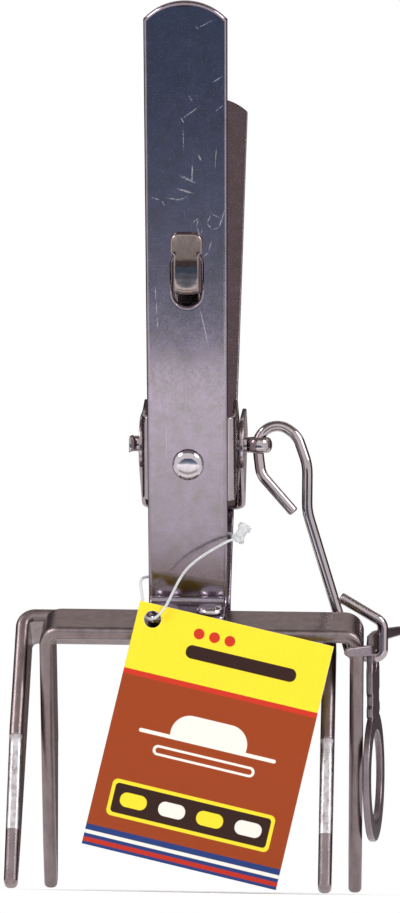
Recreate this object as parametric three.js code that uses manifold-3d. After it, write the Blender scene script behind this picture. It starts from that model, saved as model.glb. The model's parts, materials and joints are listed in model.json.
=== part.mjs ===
// A sprung claw trap for a burrow, standing closed on its four claw tips.
// Two equal halves turn on one split pin. Each half is a flat handle, a forked claw and a bracket.
// Lengths are in millimetres. X runs along the pivot pin, Z is up and the front half faces -Y.
import * as THREE from "three";
import { mergeVertices } from "three/addons/utils/BufferGeometryUtils.js";
import Module from "manifold-3d";

const wasm = await Module();
wasm.setup();

// Driving sizes of the handles
const handleWidth = 18;
const handleThickness = 2;
const handleOffset = 17.1; // pivot axis to the inner face of a handle
const handleReach = 107; // pivot axis to the crown, along the handle
const crownRadius = 12;
const footLength = 10.6; // inner face of the handle to the end of its foot
const footBendRadius = 1.6; // inside the bend between handle and foot
const footCornerRadius = 2.4;
const slotWidth = 6.2;
const slotHeight = 12.8;
const slotRise = 38.6; // pivot axis to the lower end of the slot

// Driving sizes of the claws
const barThickness = 3;
const barDepth = 12.7;
const barDrop = 33; // pivot axis to the top of the crossbar, along the handle
const clawReach = 97.3; // pivot axis to the claw tips, along the handle
const clawNarrowSide = 32.85; // handle's middle to the outer face of the nearer leg
const clawWideSide = 39.1; // handle's middle to the outer face of the further leg
const clawBendRadius = 1.3; // inside the bends of a claw
const taperLength = 32.5; // sheared part of the inner edge, above the tip
const taperStep = 0.7;
const tipDepth = 4.5;
const tipBevelLength = 12;
const tipBevelDepth = 1;

// Driving sizes of the brackets
const bracketThickness = 1;
const innerBracketWidth = 20.9; // over the outside of the narrower bracket
const bracketTop = 12.2; // pivot axis to the upper edge
const bracketBottom = 7.4; // pivot axis to the lower edge
const bracketShoulder = 4.5; // pivot axis to where the upper edge starts to round off
const bracketTongueRadius = 6.5;
const bracketBendRadius = 1.2; // inside the bends

// Driving sizes of the rivets
const rivetShankRadius = 1.9;
const bracketRivetHeadRadius = 3.5;
const bracketRivetHeadHeight = 1.7;
const footRivetHeadRadius = 3;
const footRivetHeadHeight = 1.5;
const rivetTailRadius = 2.9;
const rivetTailHeight = 1;
const footRivetSpacing = 10;
const bracketRivetRise = 2.1;

// Driving sizes of the split pin
const pinRadius = 1.75;
const prongDepth = 1.15; // of the half-round wire
const pinSlit = 0.3; // between the two prongs
const pinRoll = THREE.MathUtils.degToRad(8);
const eyeHoleRadius = 1.85;
const eyeReach = 14.95; // handle's middle to the centre of the eye
const tailReach = 13.4; // handle's middle to the bent tails
const longTailLength = 3.6;
const shortTailLength = 2.2;
const tailBendRadius = 0.5;

// Driving sizes of the leaf spring
const leafThickness = 1;
const leafWidth = 12;
const leafNeckWidth = 5.6;
const leafHeadWidth = 7;
const leafHeadHeight = 4.2;
const leafBulge = 1.9; // how far the hooked end stands off the handle
const leafCrossing = 3.5; // lower end of the slot to where the end passes through it
const leafBendRise = 2; // above the crossing, where the hooked end stands off most
const leafHeadStart = 4; // below the top of the slot, where the hooked end lies along the handle
const leafBendDrop = 3.6; // below the crossing, where the straight arm starts to bend
const leafBendGap = 2.6; // inner face of the handle to the arm there
const leafNeckLength = 6; // crossing down to where the arm has narrowed to its neck

// Driving sizes of the trigger wire
const wireRadius = 1.2;
const hookRadius = 4.4;
const hookAxisDrop = 0.1; // pivot axis to the centre of the upper hook
const wireSpan = 24.2; // centre of the upper hook to the outer side of the lower hook
const wireFall = 46.9; // centre of the upper hook to the bottom of the lower hook
const wireSetBack = 6.8; // how far the lower hook lies behind the pivot axis

// Driving sizes of the trigger plate
const plateThickness = 1.5;
const ringRadius = 14.75;
const ringHoleRadius = 10.3;
const ringDrop = 26.1; // hook hole to the centre of the ring
const hookHoleRadius = 2.45;
const neckHalfWidth = 6.5;
const headHeight = 6.3; // hook hole to the top of the plate
const headHalfWidth = 5.6;
const hornHeight = 3.2;
const hornTipHeight = 1.9;
const hornReach = 21.5; // hook hole to the end of the longer horn
const notchDepth = 0.9;
const notchRise = 19.5; // centre of the ring to the top of the upper notch
const plateYaw = THREE.MathUtils.degToRad(6.5);
const plateTilt = THREE.MathUtils.degToRad(9.5);

// Driving sizes of the hang tag and its fastener
const tagWidth = 44;
const tagHeight = 55;
const tagLeaf = 0.45;
const tagOpening = 1.1; // between the leaves at the open side
const tagHoleRadius = 1.9;
const tagHoleInset = 3.4;
const tagLean = THREE.MathUtils.degToRad(12.6);
const tagStandOff = 14.3; // pivot axis to the middle of the card
const strandRadius = 0.5;
const strandHigh = 15.5; // pivot axis to where the strand passes the lock, along the handle
const strandLow = 25.7; // pivot axis to where it passes the other edge
const lockWidth = 3.2;
const lockHeight = 4.4;
const lockDepth = 2.4;

// Clearances
const seatGap = 0.3; // between faces that touch
const shankGap = 0.3; // round a rivet in its hole
const pinGap = 0.35; // round the pin in its holes
const overrun = 1; // how far a cutting shape passes a face

// Steps of the curved faces
const bendSteps = 5;
const roundSteps = 24;
const sweepSides = 8;

// Sizes that follow from the others
const handleOuter = handleOffset + handleThickness;
const barOuter = handleOffset + barDepth;
const outerBracketWidth = innerBracketWidth + 2 * (seatGap + bracketThickness);
// The lean at which the lower inner edges of the crossbars stop against each other
const stopDrop = barDrop + barThickness;
const lean = Math.atan2(handleOffset, stopDrop) - Math.asin(seatGap / 2 / Math.hypot(handleOffset, stopDrop));

// Materials
const galvanised = new THREE.MeshStandardMaterial({ color: 0x9a9ca4, metalness: 1, roughness: 0.25 });
const barSteel = new THREE.MeshStandardMaterial({ color: 0x8f9096, metalness: 1, roughness: 0.35 });
const wireSteel = new THREE.MeshStandardMaterial({ color: 0xa6a4a2, metalness: 1, roughness: 0.2 });
const springSteel = new THREE.MeshStandardMaterial({ color: 0x8c8a88, metalness: 1, roughness: 0.3 });
const card = new THREE.MeshStandardMaterial({ color: 0xa0502a, metalness: 0, roughness: 0.35 });
const nylon = new THREE.MeshStandardMaterial({ color: 0xe6e8ea, metalness: 0, roughness: 0.3 });

// A closed geometry as a solid for joining and cutting
function solidOf(geometry, matrix = new THREE.Matrix4()) {
  const plain = geometry.clone().applyMatrix4(matrix);
  plain.deleteAttribute("normal");
  plain.deleteAttribute("uv");
  const merged = mergeVertices(plain, 1e-4);
  return new wasm.Manifold(
    new wasm.Mesh({
      numProp: 3,
      vertProperties: merged.attributes.position.array,
      triVerts: new Uint32Array(merged.index.array),
    }),
  );
}

// A solid as a named mesh
function meshOf(name, solid, material) {
  const made = solid.getMesh();
  const geometry = new THREE.BufferGeometry();
  geometry.setAttribute("position", new THREE.BufferAttribute(new Float32Array(made.vertProperties), 3));
  geometry.setIndex(new THREE.BufferAttribute(new Uint32Array(made.triVerts), 1));
  geometry.computeVertexNormals();
  const mesh = new THREE.Mesh(geometry, material);
  mesh.name = name;
  return mesh;
}

function join(solids) {
  return solids.reduce((all, next) => all.add(next));
}

// An outline with its bends rounded: each point is [a, b] or [a, b, radius]
function rounded(points, closed = true, steps = bendSteps) {
  const out = [];
  points.forEach((point, i) => {
    const here = new THREE.Vector2(point[0], point[1]);
    const radius = point[2] ?? 0;
    if (!radius || (!closed && (i === 0 || i === points.length - 1))) {
      out.push(here);
      return;
    }
    const before = points[(i + points.length - 1) % points.length];
    const after = points[(i + 1) % points.length];
    const back = new THREE.Vector2(before[0], before[1]).sub(here).normalize();
    const on = new THREE.Vector2(after[0], after[1]).sub(here).normalize();
    const half = Math.acos(THREE.MathUtils.clamp(back.dot(on), -1, 1)) / 2;
    const centre = here.clone().addScaledVector(back.clone().add(on).normalize(), radius / Math.sin(half));
    const start = here.clone().addScaledVector(back, radius / Math.tan(half)).sub(centre);
    const end = here.clone().addScaledVector(on, radius / Math.tan(half)).sub(centre);
    let turn = end.angle() - start.angle();
    if (turn > Math.PI) turn -= 2 * Math.PI;
    if (turn < -Math.PI) turn += 2 * Math.PI;
    for (let k = 0; k <= steps; k++) {
      out.push(start.clone().rotateAround(new THREE.Vector2(), (turn * k) / steps).add(centre));
    }
  });
  return out;
}

// The outline of a strip of a given thickness that follows a line of points
function stripOutline(line, thickness) {
  const sides = [[], []];
  line.forEach((point, i) => {
    const back = (line[i - 1] ?? point).clone();
    const on = (line[i + 1] ?? point).clone();
    const into = point.clone().sub(back);
    const out = on.sub(point);
    const a = (into.lengthSq() ? into : out).clone().normalize();
    const b = (out.lengthSq() ? out : into).clone().normalize();
    const along = a.clone().add(b).normalize();
    const across = new THREE.Vector2(-along.y, along.x).multiplyScalar(thickness / 2 / along.dot(a));
    sides[0].push(point.clone().add(across));
    sides[1].push(point.clone().sub(across));
  });
  return [...sides[0], ...sides[1].reverse()];
}

function extrude(outline, length, matrix) {
  const shape = new THREE.Shape(outline);
  const geometry = new THREE.ExtrudeGeometry(shape, { depth: length, bevelEnabled: false, steps: 1 });
  return solidOf(geometry, matrix);
}

// Prisms of an outline in (y, z), (x, z) or (x, y), between two planes
function prismAlongX(outline, low, high) {
  const axes = new THREE.Matrix4().makeBasis(
    new THREE.Vector3(0, 1, 0), new THREE.Vector3(0, 0, 1), new THREE.Vector3(1, 0, 0),
  );
  return extrude(outline, high - low, axes.setPosition(low, 0, 0));
}

function prismAlongY(outline, low, high) {
  const axes = new THREE.Matrix4().makeBasis(
    new THREE.Vector3(1, 0, 0), new THREE.Vector3(0, 0, 1), new THREE.Vector3(0, -1, 0),
  );
  return extrude(outline, high - low, axes.setPosition(0, high, 0));
}

function prismAlongZ(outline, low, high) {
  return extrude(outline, high - low, new THREE.Matrix4().setPosition(0, 0, low));
}

function rectangle(left, bottom, right, top, radius = 0) {
  return rounded([[left, bottom, radius], [right, bottom, radius], [right, top, radius], [left, top, radius]]);
}

function circle(a, b, radius, steps = roundSteps) {
  return Array.from({ length: steps }, (_, k) => {
    const angle = (2 * Math.PI * k) / steps;
    return new THREE.Vector2(a + radius * Math.cos(angle), b + radius * Math.sin(angle));
  });
}

// A tube of a given cross-section along points; side is the way that the first axis of the section points
function sweep(points, section, side, closed = false) {
  const count = points.length;
  const positions = [];
  points.forEach((point, i) => {
    const before = points[closed ? (i + count - 1) % count : Math.max(i - 1, 0)];
    const after = points[closed ? (i + 1) % count : Math.min(i + 1, count - 1)];
    const into = point.clone().sub(before);
    const out = after.clone().sub(point);
    const a = (into.lengthSq() ? into : out).clone().normalize();
    const b = (out.lengthSq() ? out : into).clone().normalize();
    const along = a.clone().add(b).normalize();
    const first = side.clone().addScaledVector(along, -side.dot(along)).normalize();
    const second = along.clone().cross(first);
    const stretch = 1 / along.dot(a);
    section.forEach(([u, v]) => {
      const offset = first.clone().multiplyScalar(u).addScaledVector(second, v);
      // Mitre the section where the line turns
      const turn = b.clone().sub(a);
      if (turn.lengthSq() > 1e-9) {
        turn.normalize();
        offset.addScaledVector(turn, offset.dot(turn) * (stretch - 1));
      }
      const vertex = point.clone().add(offset);
      positions.push(vertex.x, vertex.y, vertex.z);
    });
  });
  const sides = section.length;
  const index = [];
  const rings = closed ? count : count - 1;
  for (let i = 0; i < rings; i++) {
    for (let k = 0; k < sides; k++) {
      const a = i * sides + k;
      const b = i * sides + ((k + 1) % sides);
      const c = ((i + 1) % count) * sides + k;
      const d = ((i + 1) % count) * sides + ((k + 1) % sides);
      index.push(a, b, d, a, d, c);
    }
  }
  if (!closed) {
    const flat = section.map(([u, v]) => new THREE.Vector2(u, v));
    for (const [p, q, r] of THREE.ShapeUtils.triangulateShape(flat, [])) {
      const last = (count - 1) * sides;
      index.push(p, r, q, last + p, last + q, last + r);
    }
  }
  const geometry = new THREE.BufferGeometry();
  geometry.setAttribute("position", new THREE.Float32BufferAttribute(positions, 3));
  geometry.setIndex(index);
  return solidOf(geometry);
}

function roundSection(radius, sides = sweepSides) {
  return Array.from({ length: sides }, (_, k) => {
    const angle = (2 * Math.PI * (k + 0.5)) / sides;
    return [radius * Math.cos(angle), radius * Math.sin(angle)];
  });
}

// Frames of the two halves: each leans about the pivot axis, and the rear one is the front one turned round
const frontFrame = new THREE.Matrix4().makeRotationX(lean);
const rearFrame = new THREE.Matrix4().makeRotationZ(Math.PI).multiply(frontFrame);

function placed(solid, matrix) {
  const made = solid.getMesh();
  const geometry = new THREE.BufferGeometry();
  geometry.setAttribute("position", new THREE.BufferAttribute(new Float32Array(made.vertProperties), 3));
  geometry.setIndex(new THREE.BufferAttribute(new Uint32Array(made.triVerts), 1));
  return solidOf(geometry, matrix);
}

// A point of the front half's own (y, z) plane, in the trap's
function inTrap(y, z) {
  const point = new THREE.Vector3(0, y, z).applyMatrix4(frontFrame);
  return new THREE.Vector2(point.y, point.z);
}

// The slot's ends are all but half round
const slotRoundShare = 0.999;

// Handle: a flat strip with a rounded crown, a slot for the spring and a foot bent out over the crossbar
function handleSolid() {
  const half = handleWidth / 2;
  const footBottom = seatGap - barDrop;
  const footTop = footBottom + handleThickness;
  const profile = rounded([
    [-handleOffset, handleReach],
    [-handleOffset, footBottom, footBendRadius + handleThickness],
    [-handleOffset - footLength, footBottom],
    [-handleOffset - footLength, footTop],
    [-handleOuter, footTop, footBendRadius],
    [-handleOuter, handleReach],
  ]);
  const crownCentre = handleReach - crownRadius;
  const shoulder = Math.asin(half / crownRadius);
  const crown = Array.from({ length: 2 * bendSteps + 1 }, (_, k) => {
    const angle = shoulder - (2 * shoulder * k) / (2 * bendSteps);
    return new THREE.Vector2(crownRadius * Math.sin(angle), crownCentre + crownRadius * Math.cos(angle));
  });
  const face = [
    new THREE.Vector2(-half, footBottom - overrun),
    new THREE.Vector2(half, footBottom - overrun),
    ...crown,
  ];
  const footEnd = -handleOffset - footLength;
  const plan = rounded([
    [-half, footEnd, footCornerRadius],
    [half, footEnd, footCornerRadius],
    [half, overrun - handleOffset],
    [-half, overrun - handleOffset],
  ]);
  const slotHalf = slotWidth / 2;
  const slot = rectangle(-slotHalf, slotRise, slotHalf, slotRise + slotHeight, slotRoundShare * slotHalf);
  const slotCut = prismAlongY(slot, -handleOuter - overrun, overrun - handleOffset);
  const rivetHole = prismAlongY(
    circle(0, bracketRivetRise, rivetShankRadius + shankGap), -handleOuter - overrun, overrun - handleOffset,
  );
  let solid = prismAlongX(profile, -half, half)
    .intersect(prismAlongY(face, footEnd - overrun, overrun - handleOffset))
    .intersect(prismAlongZ(plan, footBottom - overrun, handleReach + overrun))
    .subtract(slotCut)
    .subtract(rivetHole);
  for (const place of footRivetPlaces) {
    solid = solid.subtract(
      prismAlongZ(
        circle(place.x, place.y, rivetShankRadius + shankGap), footBottom - overrun, footTop + overrun,
      ),
    );
  }
  return solid;
}

// The two rivets of a foot lie midway along its flat part
const footRivetPlaces = [-1, 1].map((side) => ({
  side: side < 0 ? "left" : "right",
  x: (side * footRivetSpacing) / 2,
  y: -(handleOuter + footBendRadius + handleOffset + footLength) / 2,
}));

// Claw: a flat bar bent into a fork, whose legs taper on the side that faces the other claw
function clawSolid() {
  const inside = clawBendRadius;
  const outside = clawBendRadius + barThickness;
  const fork = rounded([
    [-clawNarrowSide, -clawReach],
    [barThickness - clawNarrowSide, -clawReach],
    [barThickness - clawNarrowSide, -barDrop - barThickness, inside],
    [clawWideSide - barThickness, -barDrop - barThickness, inside],
    [clawWideSide - barThickness, -clawReach],
    [clawWideSide, -clawReach],
    [clawWideSide, -barDrop, outside],
    [-clawNarrowSide, -barDrop, outside],
  ]);
  const taperTop = taperLength - clawReach;
  const leg = [
    [-barOuter, overrun - barDrop],
    [-barOuter, tipBevelLength - clawReach],
    [tipBevelDepth - barOuter, -clawReach],
    [tipDepth - barOuter, -clawReach],
    [-handleOffset - taperStep, taperTop - taperStep],
    [-handleOffset, taperTop],
    [-handleOffset, overrun - barDrop],
  ].map(([y, z]) => new THREE.Vector2(y, z));
  let solid = prismAlongY(fork, -barOuter, -handleOffset).intersect(
    prismAlongX(leg, -clawNarrowSide - overrun, clawWideSide + overrun),
  );
  for (const place of footRivetPlaces) {
    solid = solid.subtract(
      prismAlongZ(
        circle(place.x, place.y, rivetShankRadius + shankGap),
        -barDrop - barThickness - overrun,
        overrun - barDrop,
      ),
    );
  }
  return solid;
}

// Bracket: a channel whose web is riveted behind the handle and whose cheeks carry the pin
function bracketSolid(width) {
  const half = width / 2;
  const back = seatGap - handleOffset;
  const inside = bracketBendRadius;
  const outside = bracketBendRadius + bracketThickness;
  const channel = rounded([
    [-half, back, outside],
    [half, back, outside],
    [half, bracketTongueRadius + overrun],
    [half - bracketThickness, bracketTongueRadius + overrun],
    [half - bracketThickness, back + bracketThickness, inside],
    [bracketThickness - half, back + bracketThickness, inside],
    [bracketThickness - half, bracketTongueRadius + overrun],
    [-half, bracketTongueRadius + overrun],
  ]);
  // The cheek is a tongue round the pivot that widens towards the web
  const upper = new THREE.Vector2(-bracketShoulder, bracketTop);
  const lower = new THREE.Vector2(-handleOffset, -bracketBottom);
  const tangent = (point, sign) => {
    const reach = point.length();
    return point.angle() + sign * Math.acos(bracketTongueRadius / reach);
  };
  const startAngle = tangent(lower, 1) - 2 * Math.PI;
  const endAngle = tangent(upper, -1);
  const tongue = Array.from({ length: 2 * bendSteps + 1 }, (_, k) => {
    const angle = startAngle + ((endAngle - startAngle) * k) / (2 * bendSteps);
    return new THREE.Vector2(bracketTongueRadius * Math.cos(angle), bracketTongueRadius * Math.sin(angle));
  });
  const cheek = [
    new THREE.Vector2(-handleOffset, bracketTop),
    lower,
    ...tongue,
    upper,
  ];
  return prismAlongZ(channel, -bracketBottom - overrun, bracketTop + overrun)
    .intersect(prismAlongX(cheek, -half - overrun, half + overrun))
    .subtract(prismAlongX(circle(0, 0, pinRadius + pinGap), -half - overrun, half + overrun))
    .subtract(
      prismAlongY(circle(0, bracketRivetRise, rivetShankRadius + shankGap), back - overrun, 0),
    );
}

// Rivet: a domed head, a shank through two layers and a flat tail; its axis is the lathe's
function rivetSolid(headRadius, headHeight, grip) {
  const dome = Array.from({ length: bendSteps + 1 }, (_, k) => {
    const angle = (Math.PI / 2) * (k / bendSteps);
    return new THREE.Vector2(headRadius * Math.cos(angle), grip / 2 + headHeight * Math.sin(angle));
  });
  dome[dome.length - 1].x = 0;
  const profile = [
    new THREE.Vector2(0, -grip / 2 - rivetTailHeight),
    new THREE.Vector2(rivetTailRadius, -grip / 2 - rivetTailHeight),
    new THREE.Vector2(rivetTailRadius, -grip / 2),
    new THREE.Vector2(rivetShankRadius, -grip / 2),
    new THREE.Vector2(rivetShankRadius, grip / 2),
    ...dome,
  ];
  return solidOf(new THREE.LatheGeometry(profile, roundSteps));
}

// Rivet through the handle and the bracket's web, with its head outside
function bracketRivetSolid() {
  const grip = handleThickness + bracketThickness + 3 * seatGap;
  const middle = -handleOuter - seatGap + grip / 2;
  const turn = new THREE.Matrix4().makeRotationX(Math.PI);
  const matrix = new THREE.Matrix4().makeTranslation(0, middle, bracketRivetRise).multiply(turn);
  return placed(rivetSolid(bracketRivetHeadRadius, bracketRivetHeadHeight, grip), matrix);
}

// Rivet through a foot and the crossbar under it, with its head on top
function footRivetSolid(place) {
  const grip = handleThickness + barThickness + 3 * seatGap;
  const middle = -barDrop + seatGap + handleThickness + seatGap - grip / 2;
  const matrix = new THREE.Matrix4()
    .makeTranslation(place.x, place.y, middle)
    .multiply(new THREE.Matrix4().makeRotationX(Math.PI / 2));
  return placed(rivetSolid(footRivetHeadRadius, footRivetHeadHeight, grip), matrix);
}

// Split pin: half-round wire folded into an eye, with its two ends bent over on the other side
function pinSolid() {
  const middle = (prongDepth + pinSlit) / 2;
  const eyeMiddleRadius = eyeHoleRadius + prongDepth / 2;
  const meet = Math.asin(middle / eyeMiddleRadius);
  const eyeSteps = 14;
  const eye = Array.from({ length: eyeSteps + 1 }, (_, k) => {
    const angle = Math.PI - meet - ((2 * Math.PI - 2 * meet) * k) / eyeSteps;
    return new THREE.Vector3(
      eyeReach + eyeMiddleRadius * Math.cos(angle), eyeMiddleRadius * Math.sin(angle), 0,
    );
  });
  const bend = tailBendRadius + prongDepth / 2;
  const tail = (sign, length) => {
    const line = rounded(
      [[0, sign * middle], [-tailReach, sign * middle, bend], [-tailReach, sign * (middle + bend + length)]],
      false,
    );
    return line.map((point) => new THREE.Vector3(point.x, point.y, 0));
  };
  const line = [...tail(1, shortTailLength).reverse(), ...eye, ...tail(-1, longTailLength)];
  // The section is flat on the side that faces the other prong
  const arcSteps = 6;
  const arc = Array.from({ length: arcSteps + 1 }, (_, k) => {
    const angle = (Math.PI * k) / arcSteps;
    return [pinRadius * Math.cos(angle), prongDepth / 2 - prongDepth * Math.sin(angle)];
  }).reverse();
  return sweep(line, arc, new THREE.Vector3(0, 0, 1));
}

// Leaf spring: a vee round the pin whose ends pass through the slots and hook over the handles
function springSolid() {
  const apexRadius = pinRadius + seatGap + leafThickness / 2;
  const crossing = slotRise + leafCrossing;
  const inner = inTrap(leafBendGap - handleOffset, crossing - leafBendDrop);
  const seated = -handleOuter - leafThickness / 2 - seatGap;
  const hook = [
    [seated, slotRise + slotHeight + leafHeadHeight],
    [seated, slotRise + slotHeight - leafHeadStart],
    [-handleOuter - leafBulge, crossing + leafBendRise],
    [-handleOffset - handleThickness / 2, crossing],
  ].map(([y, z]) => inTrap(y, z));
  const reach = inner.length();
  const angle = inner.angle() + Math.acos(apexRadius / reach);
  const first = angle;
  const last = 3 * Math.PI - angle;
  const apexSteps = 8;
  const apex = Array.from({ length: apexSteps + 1 }, (_, k) => {
    const turn = first + ((last - first) * k) / apexSteps;
    return new THREE.Vector2(apexRadius * Math.cos(turn), apexRadius * Math.sin(turn));
  });
  const arm = [...hook, inner];
  const mirrored = arm.map((point) => new THREE.Vector2(-point.x, point.y)).reverse();
  const outline = stripOutline([...arm, ...apex, ...mirrored], leafThickness);
  let solid = prismAlongX(outline, -leafWidth / 2, leafWidth / 2);
  // The ends narrow to a neck in the slot and widen again into a head
  const neckStart = crossing - leafNeckLength;
  const neckEnd = slotRise + slotHeight;
  const top = neckEnd + leafHeadHeight;
  const side = [
    [leafWidth / 2 + overrun, neckStart - (leafWidth - leafNeckWidth) / 2],
    [leafWidth / 2, neckStart - (leafWidth - leafNeckWidth) / 2],
    [leafNeckWidth / 2, neckStart],
    [leafNeckWidth / 2, neckEnd],
    [leafHeadWidth / 2, neckEnd],
    [leafHeadWidth / 2, top - leafHeadHeight / 3],
    [leafHeadWidth / 2 - leafHeadHeight / 3, top],
    [leafHeadWidth / 2 - leafHeadHeight / 3, top + overrun],
    [leafWidth / 2 + overrun, top + overrun],
  ].map(([x, z]) => new THREE.Vector2(x, z));
  const other = side.map((point) => new THREE.Vector2(-point.x, point.y)).reverse();
  for (const frame of [frontFrame, rearFrame]) {
    for (const outlineSide of [side, other]) {
      const cut = prismAlongY(outlineSide, -handleOuter - leafBulge - leafThickness - overrun, 0);
      solid = solid.subtract(placed(cut, frame));
    }
  }
  return solid;
}

// Trigger wire: a hook through the pin's eye, a cranked shank and a second hook for the plate
const hookLeftShare = 0.15; // of the eye's hole, by which the wire lies left of its middle
const hookCentre = { x: eyeReach + hookRadius - hookLeftShare * eyeHoleRadius, z: -hookAxisDrop };

// Places on the wire as shares of its span and its fall from the centre of the upper hook
const freeEndShares = [0.164, -0.32];
const freeBendShares = [-0.147, -0.139, 0.2];
const wireCornerShares = [
  [0.187, 0.047, 0.22],
  [0.284, -0.092, 0.48],
  [0.284, -0.309, 0.48],
  [0.708, -1, 0.1],
  [1, -1, 0.069],
  [1, -0.836, 0.1],
  [0.6, -0.717, 0],
];

function wireLine() {
  const at = ([x, z]) => new THREE.Vector2(hookCentre.x + x * wireSpan, hookCentre.z + z * wireFall);
  const centre = new THREE.Vector2(hookCentre.x, hookCentre.z);
  const tangentAngle = (point, sign) => {
    const away = point.clone().sub(centre);
    return away.angle() + sign * Math.acos(hookRadius / away.length());
  };
  const corner = ([x, z, r]) => [...at([x, z]).toArray(), r * wireSpan];
  const corners = wireCornerShares.map(corner);
  const start = tangentAngle(at(freeBendShares), -1);
  const end = tangentAngle(at(wireCornerShares[0]), 1);
  const hookSteps = 14;
  const hook = Array.from({ length: hookSteps + 1 }, (_, k) => {
    const angle = start + ((end - start) * k) / hookSteps;
    return new THREE.Vector2(hookRadius * Math.cos(angle), hookRadius * Math.sin(angle)).add(centre);
  });
  const freeLine = [at(freeEndShares).toArray(), corner(freeBendShares), hook[0].toArray()];
  const free = rounded(freeLine, false).slice(0, -1);
  const rest = rounded([hook[hookSteps].toArray(), ...corners], false).slice(1);
  // The shank leans back from the pivot to behind the front claw
  const top = hookCentre.z - hookRadius;
  const bottom = hookCentre.z - wireFall;
  const level = free.length + hook.length;
  return [...free, ...hook, ...rest].map((point, i) => {
    const share = THREE.MathUtils.clamp((top - point.y) / (top - bottom), 0, 1);
    const back = i < level ? 0 : wireSetBack * share;
    return new THREE.Vector3(point.x, back, point.y);
  });
}

function wireSolid() {
  return sweep(wireLine(), roundSection(wireRadius), new THREE.Vector3(0, 1, 0));
}

// Trigger plate: a ring on a notched neck with a hooked crosspiece, in its own plane (y, z)
const hornLineShares = {
  near: [[0, -0.2], [0.09, -0.87], [-0.15, -1.08]],
  far: [[0, 0.2], [0.055, 0.6], [0.195, 0.94]],
};
function hornSolid(line) {
  const points = line.map(([x, y]) => [x * hornReach, y * hornReach, hornHeight / 2]);
  const plan = stripOutline(rounded(points, false), plateThickness);
  const low = headHeight - hornHeight;
  const solid = prismAlongZ(plan, low, headHeight);
  const tip = line[line.length - 1][1] * hornReach;
  const drop = (hornHeight - hornTipHeight) / 2;
  const past = tip + Math.sign(tip) * overrun;
  const side = [
    [0, low], [0, headHeight], [tip, headHeight - drop], [past, headHeight - drop],
    [past, low + drop], [tip, low + drop],
  ].map(([y, z]) => new THREE.Vector2(y, z));
  if (tip > 0) side.reverse();
  return solid.intersect(prismAlongX(side, -hornReach, hornReach));
}

function plateSolid() {
  const half = plateThickness / 2;
  const neckBottom = (ringHoleRadius + ringRadius) / 2 - ringDrop;
  const notchTop = notchRise - ringDrop;
  const waist = neckHalfWidth - notchDepth;
  const neckSide = [
    [headHalfWidth, headHeight],
    [headHalfWidth, 0],
    [neckHalfWidth, headHalfWidth - neckHalfWidth - notchDepth],
    [neckHalfWidth, notchTop],
    [waist, notchTop - notchDepth],
    [waist, notchTop - 3 * notchDepth],
    [neckHalfWidth, notchTop - 4 * notchDepth],
    [neckHalfWidth, notchTop - 6 * notchDepth],
    [waist, notchTop - 7 * notchDepth],
    [waist, neckBottom],
  ];
  const neck = [
    ...neckSide.map(([y, z]) => new THREE.Vector2(-y, z)),
    ...neckSide.map(([y, z]) => new THREE.Vector2(y, z)).reverse(),
  ];
  const ring = circle(0, -ringDrop, ringRadius, 2 * roundSteps);
  const body = join([
    prismAlongX(neck, -half, half),
    prismAlongX(ring, -half, half),
    hornSolid(hornLineShares.near),
    hornSolid(hornLineShares.far),
  ]);
  return body
    .subtract(prismAlongX(circle(0, -ringDrop, ringHoleRadius, 2 * roundSteps), -hornReach, hornReach))
    .subtract(prismAlongX(circle(0, 0, hookHoleRadius), -hornReach, hornReach));
}

// The plate hangs with the top of its hook hole on the bottom of the lower hook
const plateSpanShare = 0.91;
const plateAnchor = new THREE.Vector3(
  hookCentre.x + plateSpanShare * wireSpan,
  wireSetBack,
  hookCentre.z - wireFall + wireRadius + seatGap - hookHoleRadius,
);

// Tag: a card folded down its left side, with a hole through both leaves near its upper left corner
function tagSolid() {
  const left = -tagHoleInset;
  const right = tagWidth - tagHoleInset;
  const top = tagHoleInset;
  const bottom = tagHoleInset - tagHeight;
  const front = -tagLeaf - tagOpening / 2;
  const plan = [
    [left, -tagLeaf], [right, front], [right, front + tagLeaf], [left + 2 * tagLeaf, 0],
    [right, -front - tagLeaf], [right, -front], [left, tagLeaf],
  ].map(([x, y]) => new THREE.Vector2(x, y));
  return prismAlongZ(plan, bottom, top).subtract(
    prismAlongY(circle(0, 0, tagHoleRadius), front - overrun, overrun - front),
  );
}

// The tag's hole lies in front of the left part of the foot
const tagPlaceShares = [-0.43, 0.18]; // of the handle's width and the crossbar's depth
const tagAnchor = new THREE.Vector3(
  tagPlaceShares[0] * handleWidth,
  -tagStandOff,
  tagPlaceShares[1] * barDepth - barDrop * Math.cos(lean) - barOuter * Math.sin(lean),
);

// The strand's places at the tag, in clearances from the tag's hole: in it, leaving it and coming back
const tagStrandShares = [[0, 0, 0], [3, -2, 2], [-2.4, 2.2, 1.4]];

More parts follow.
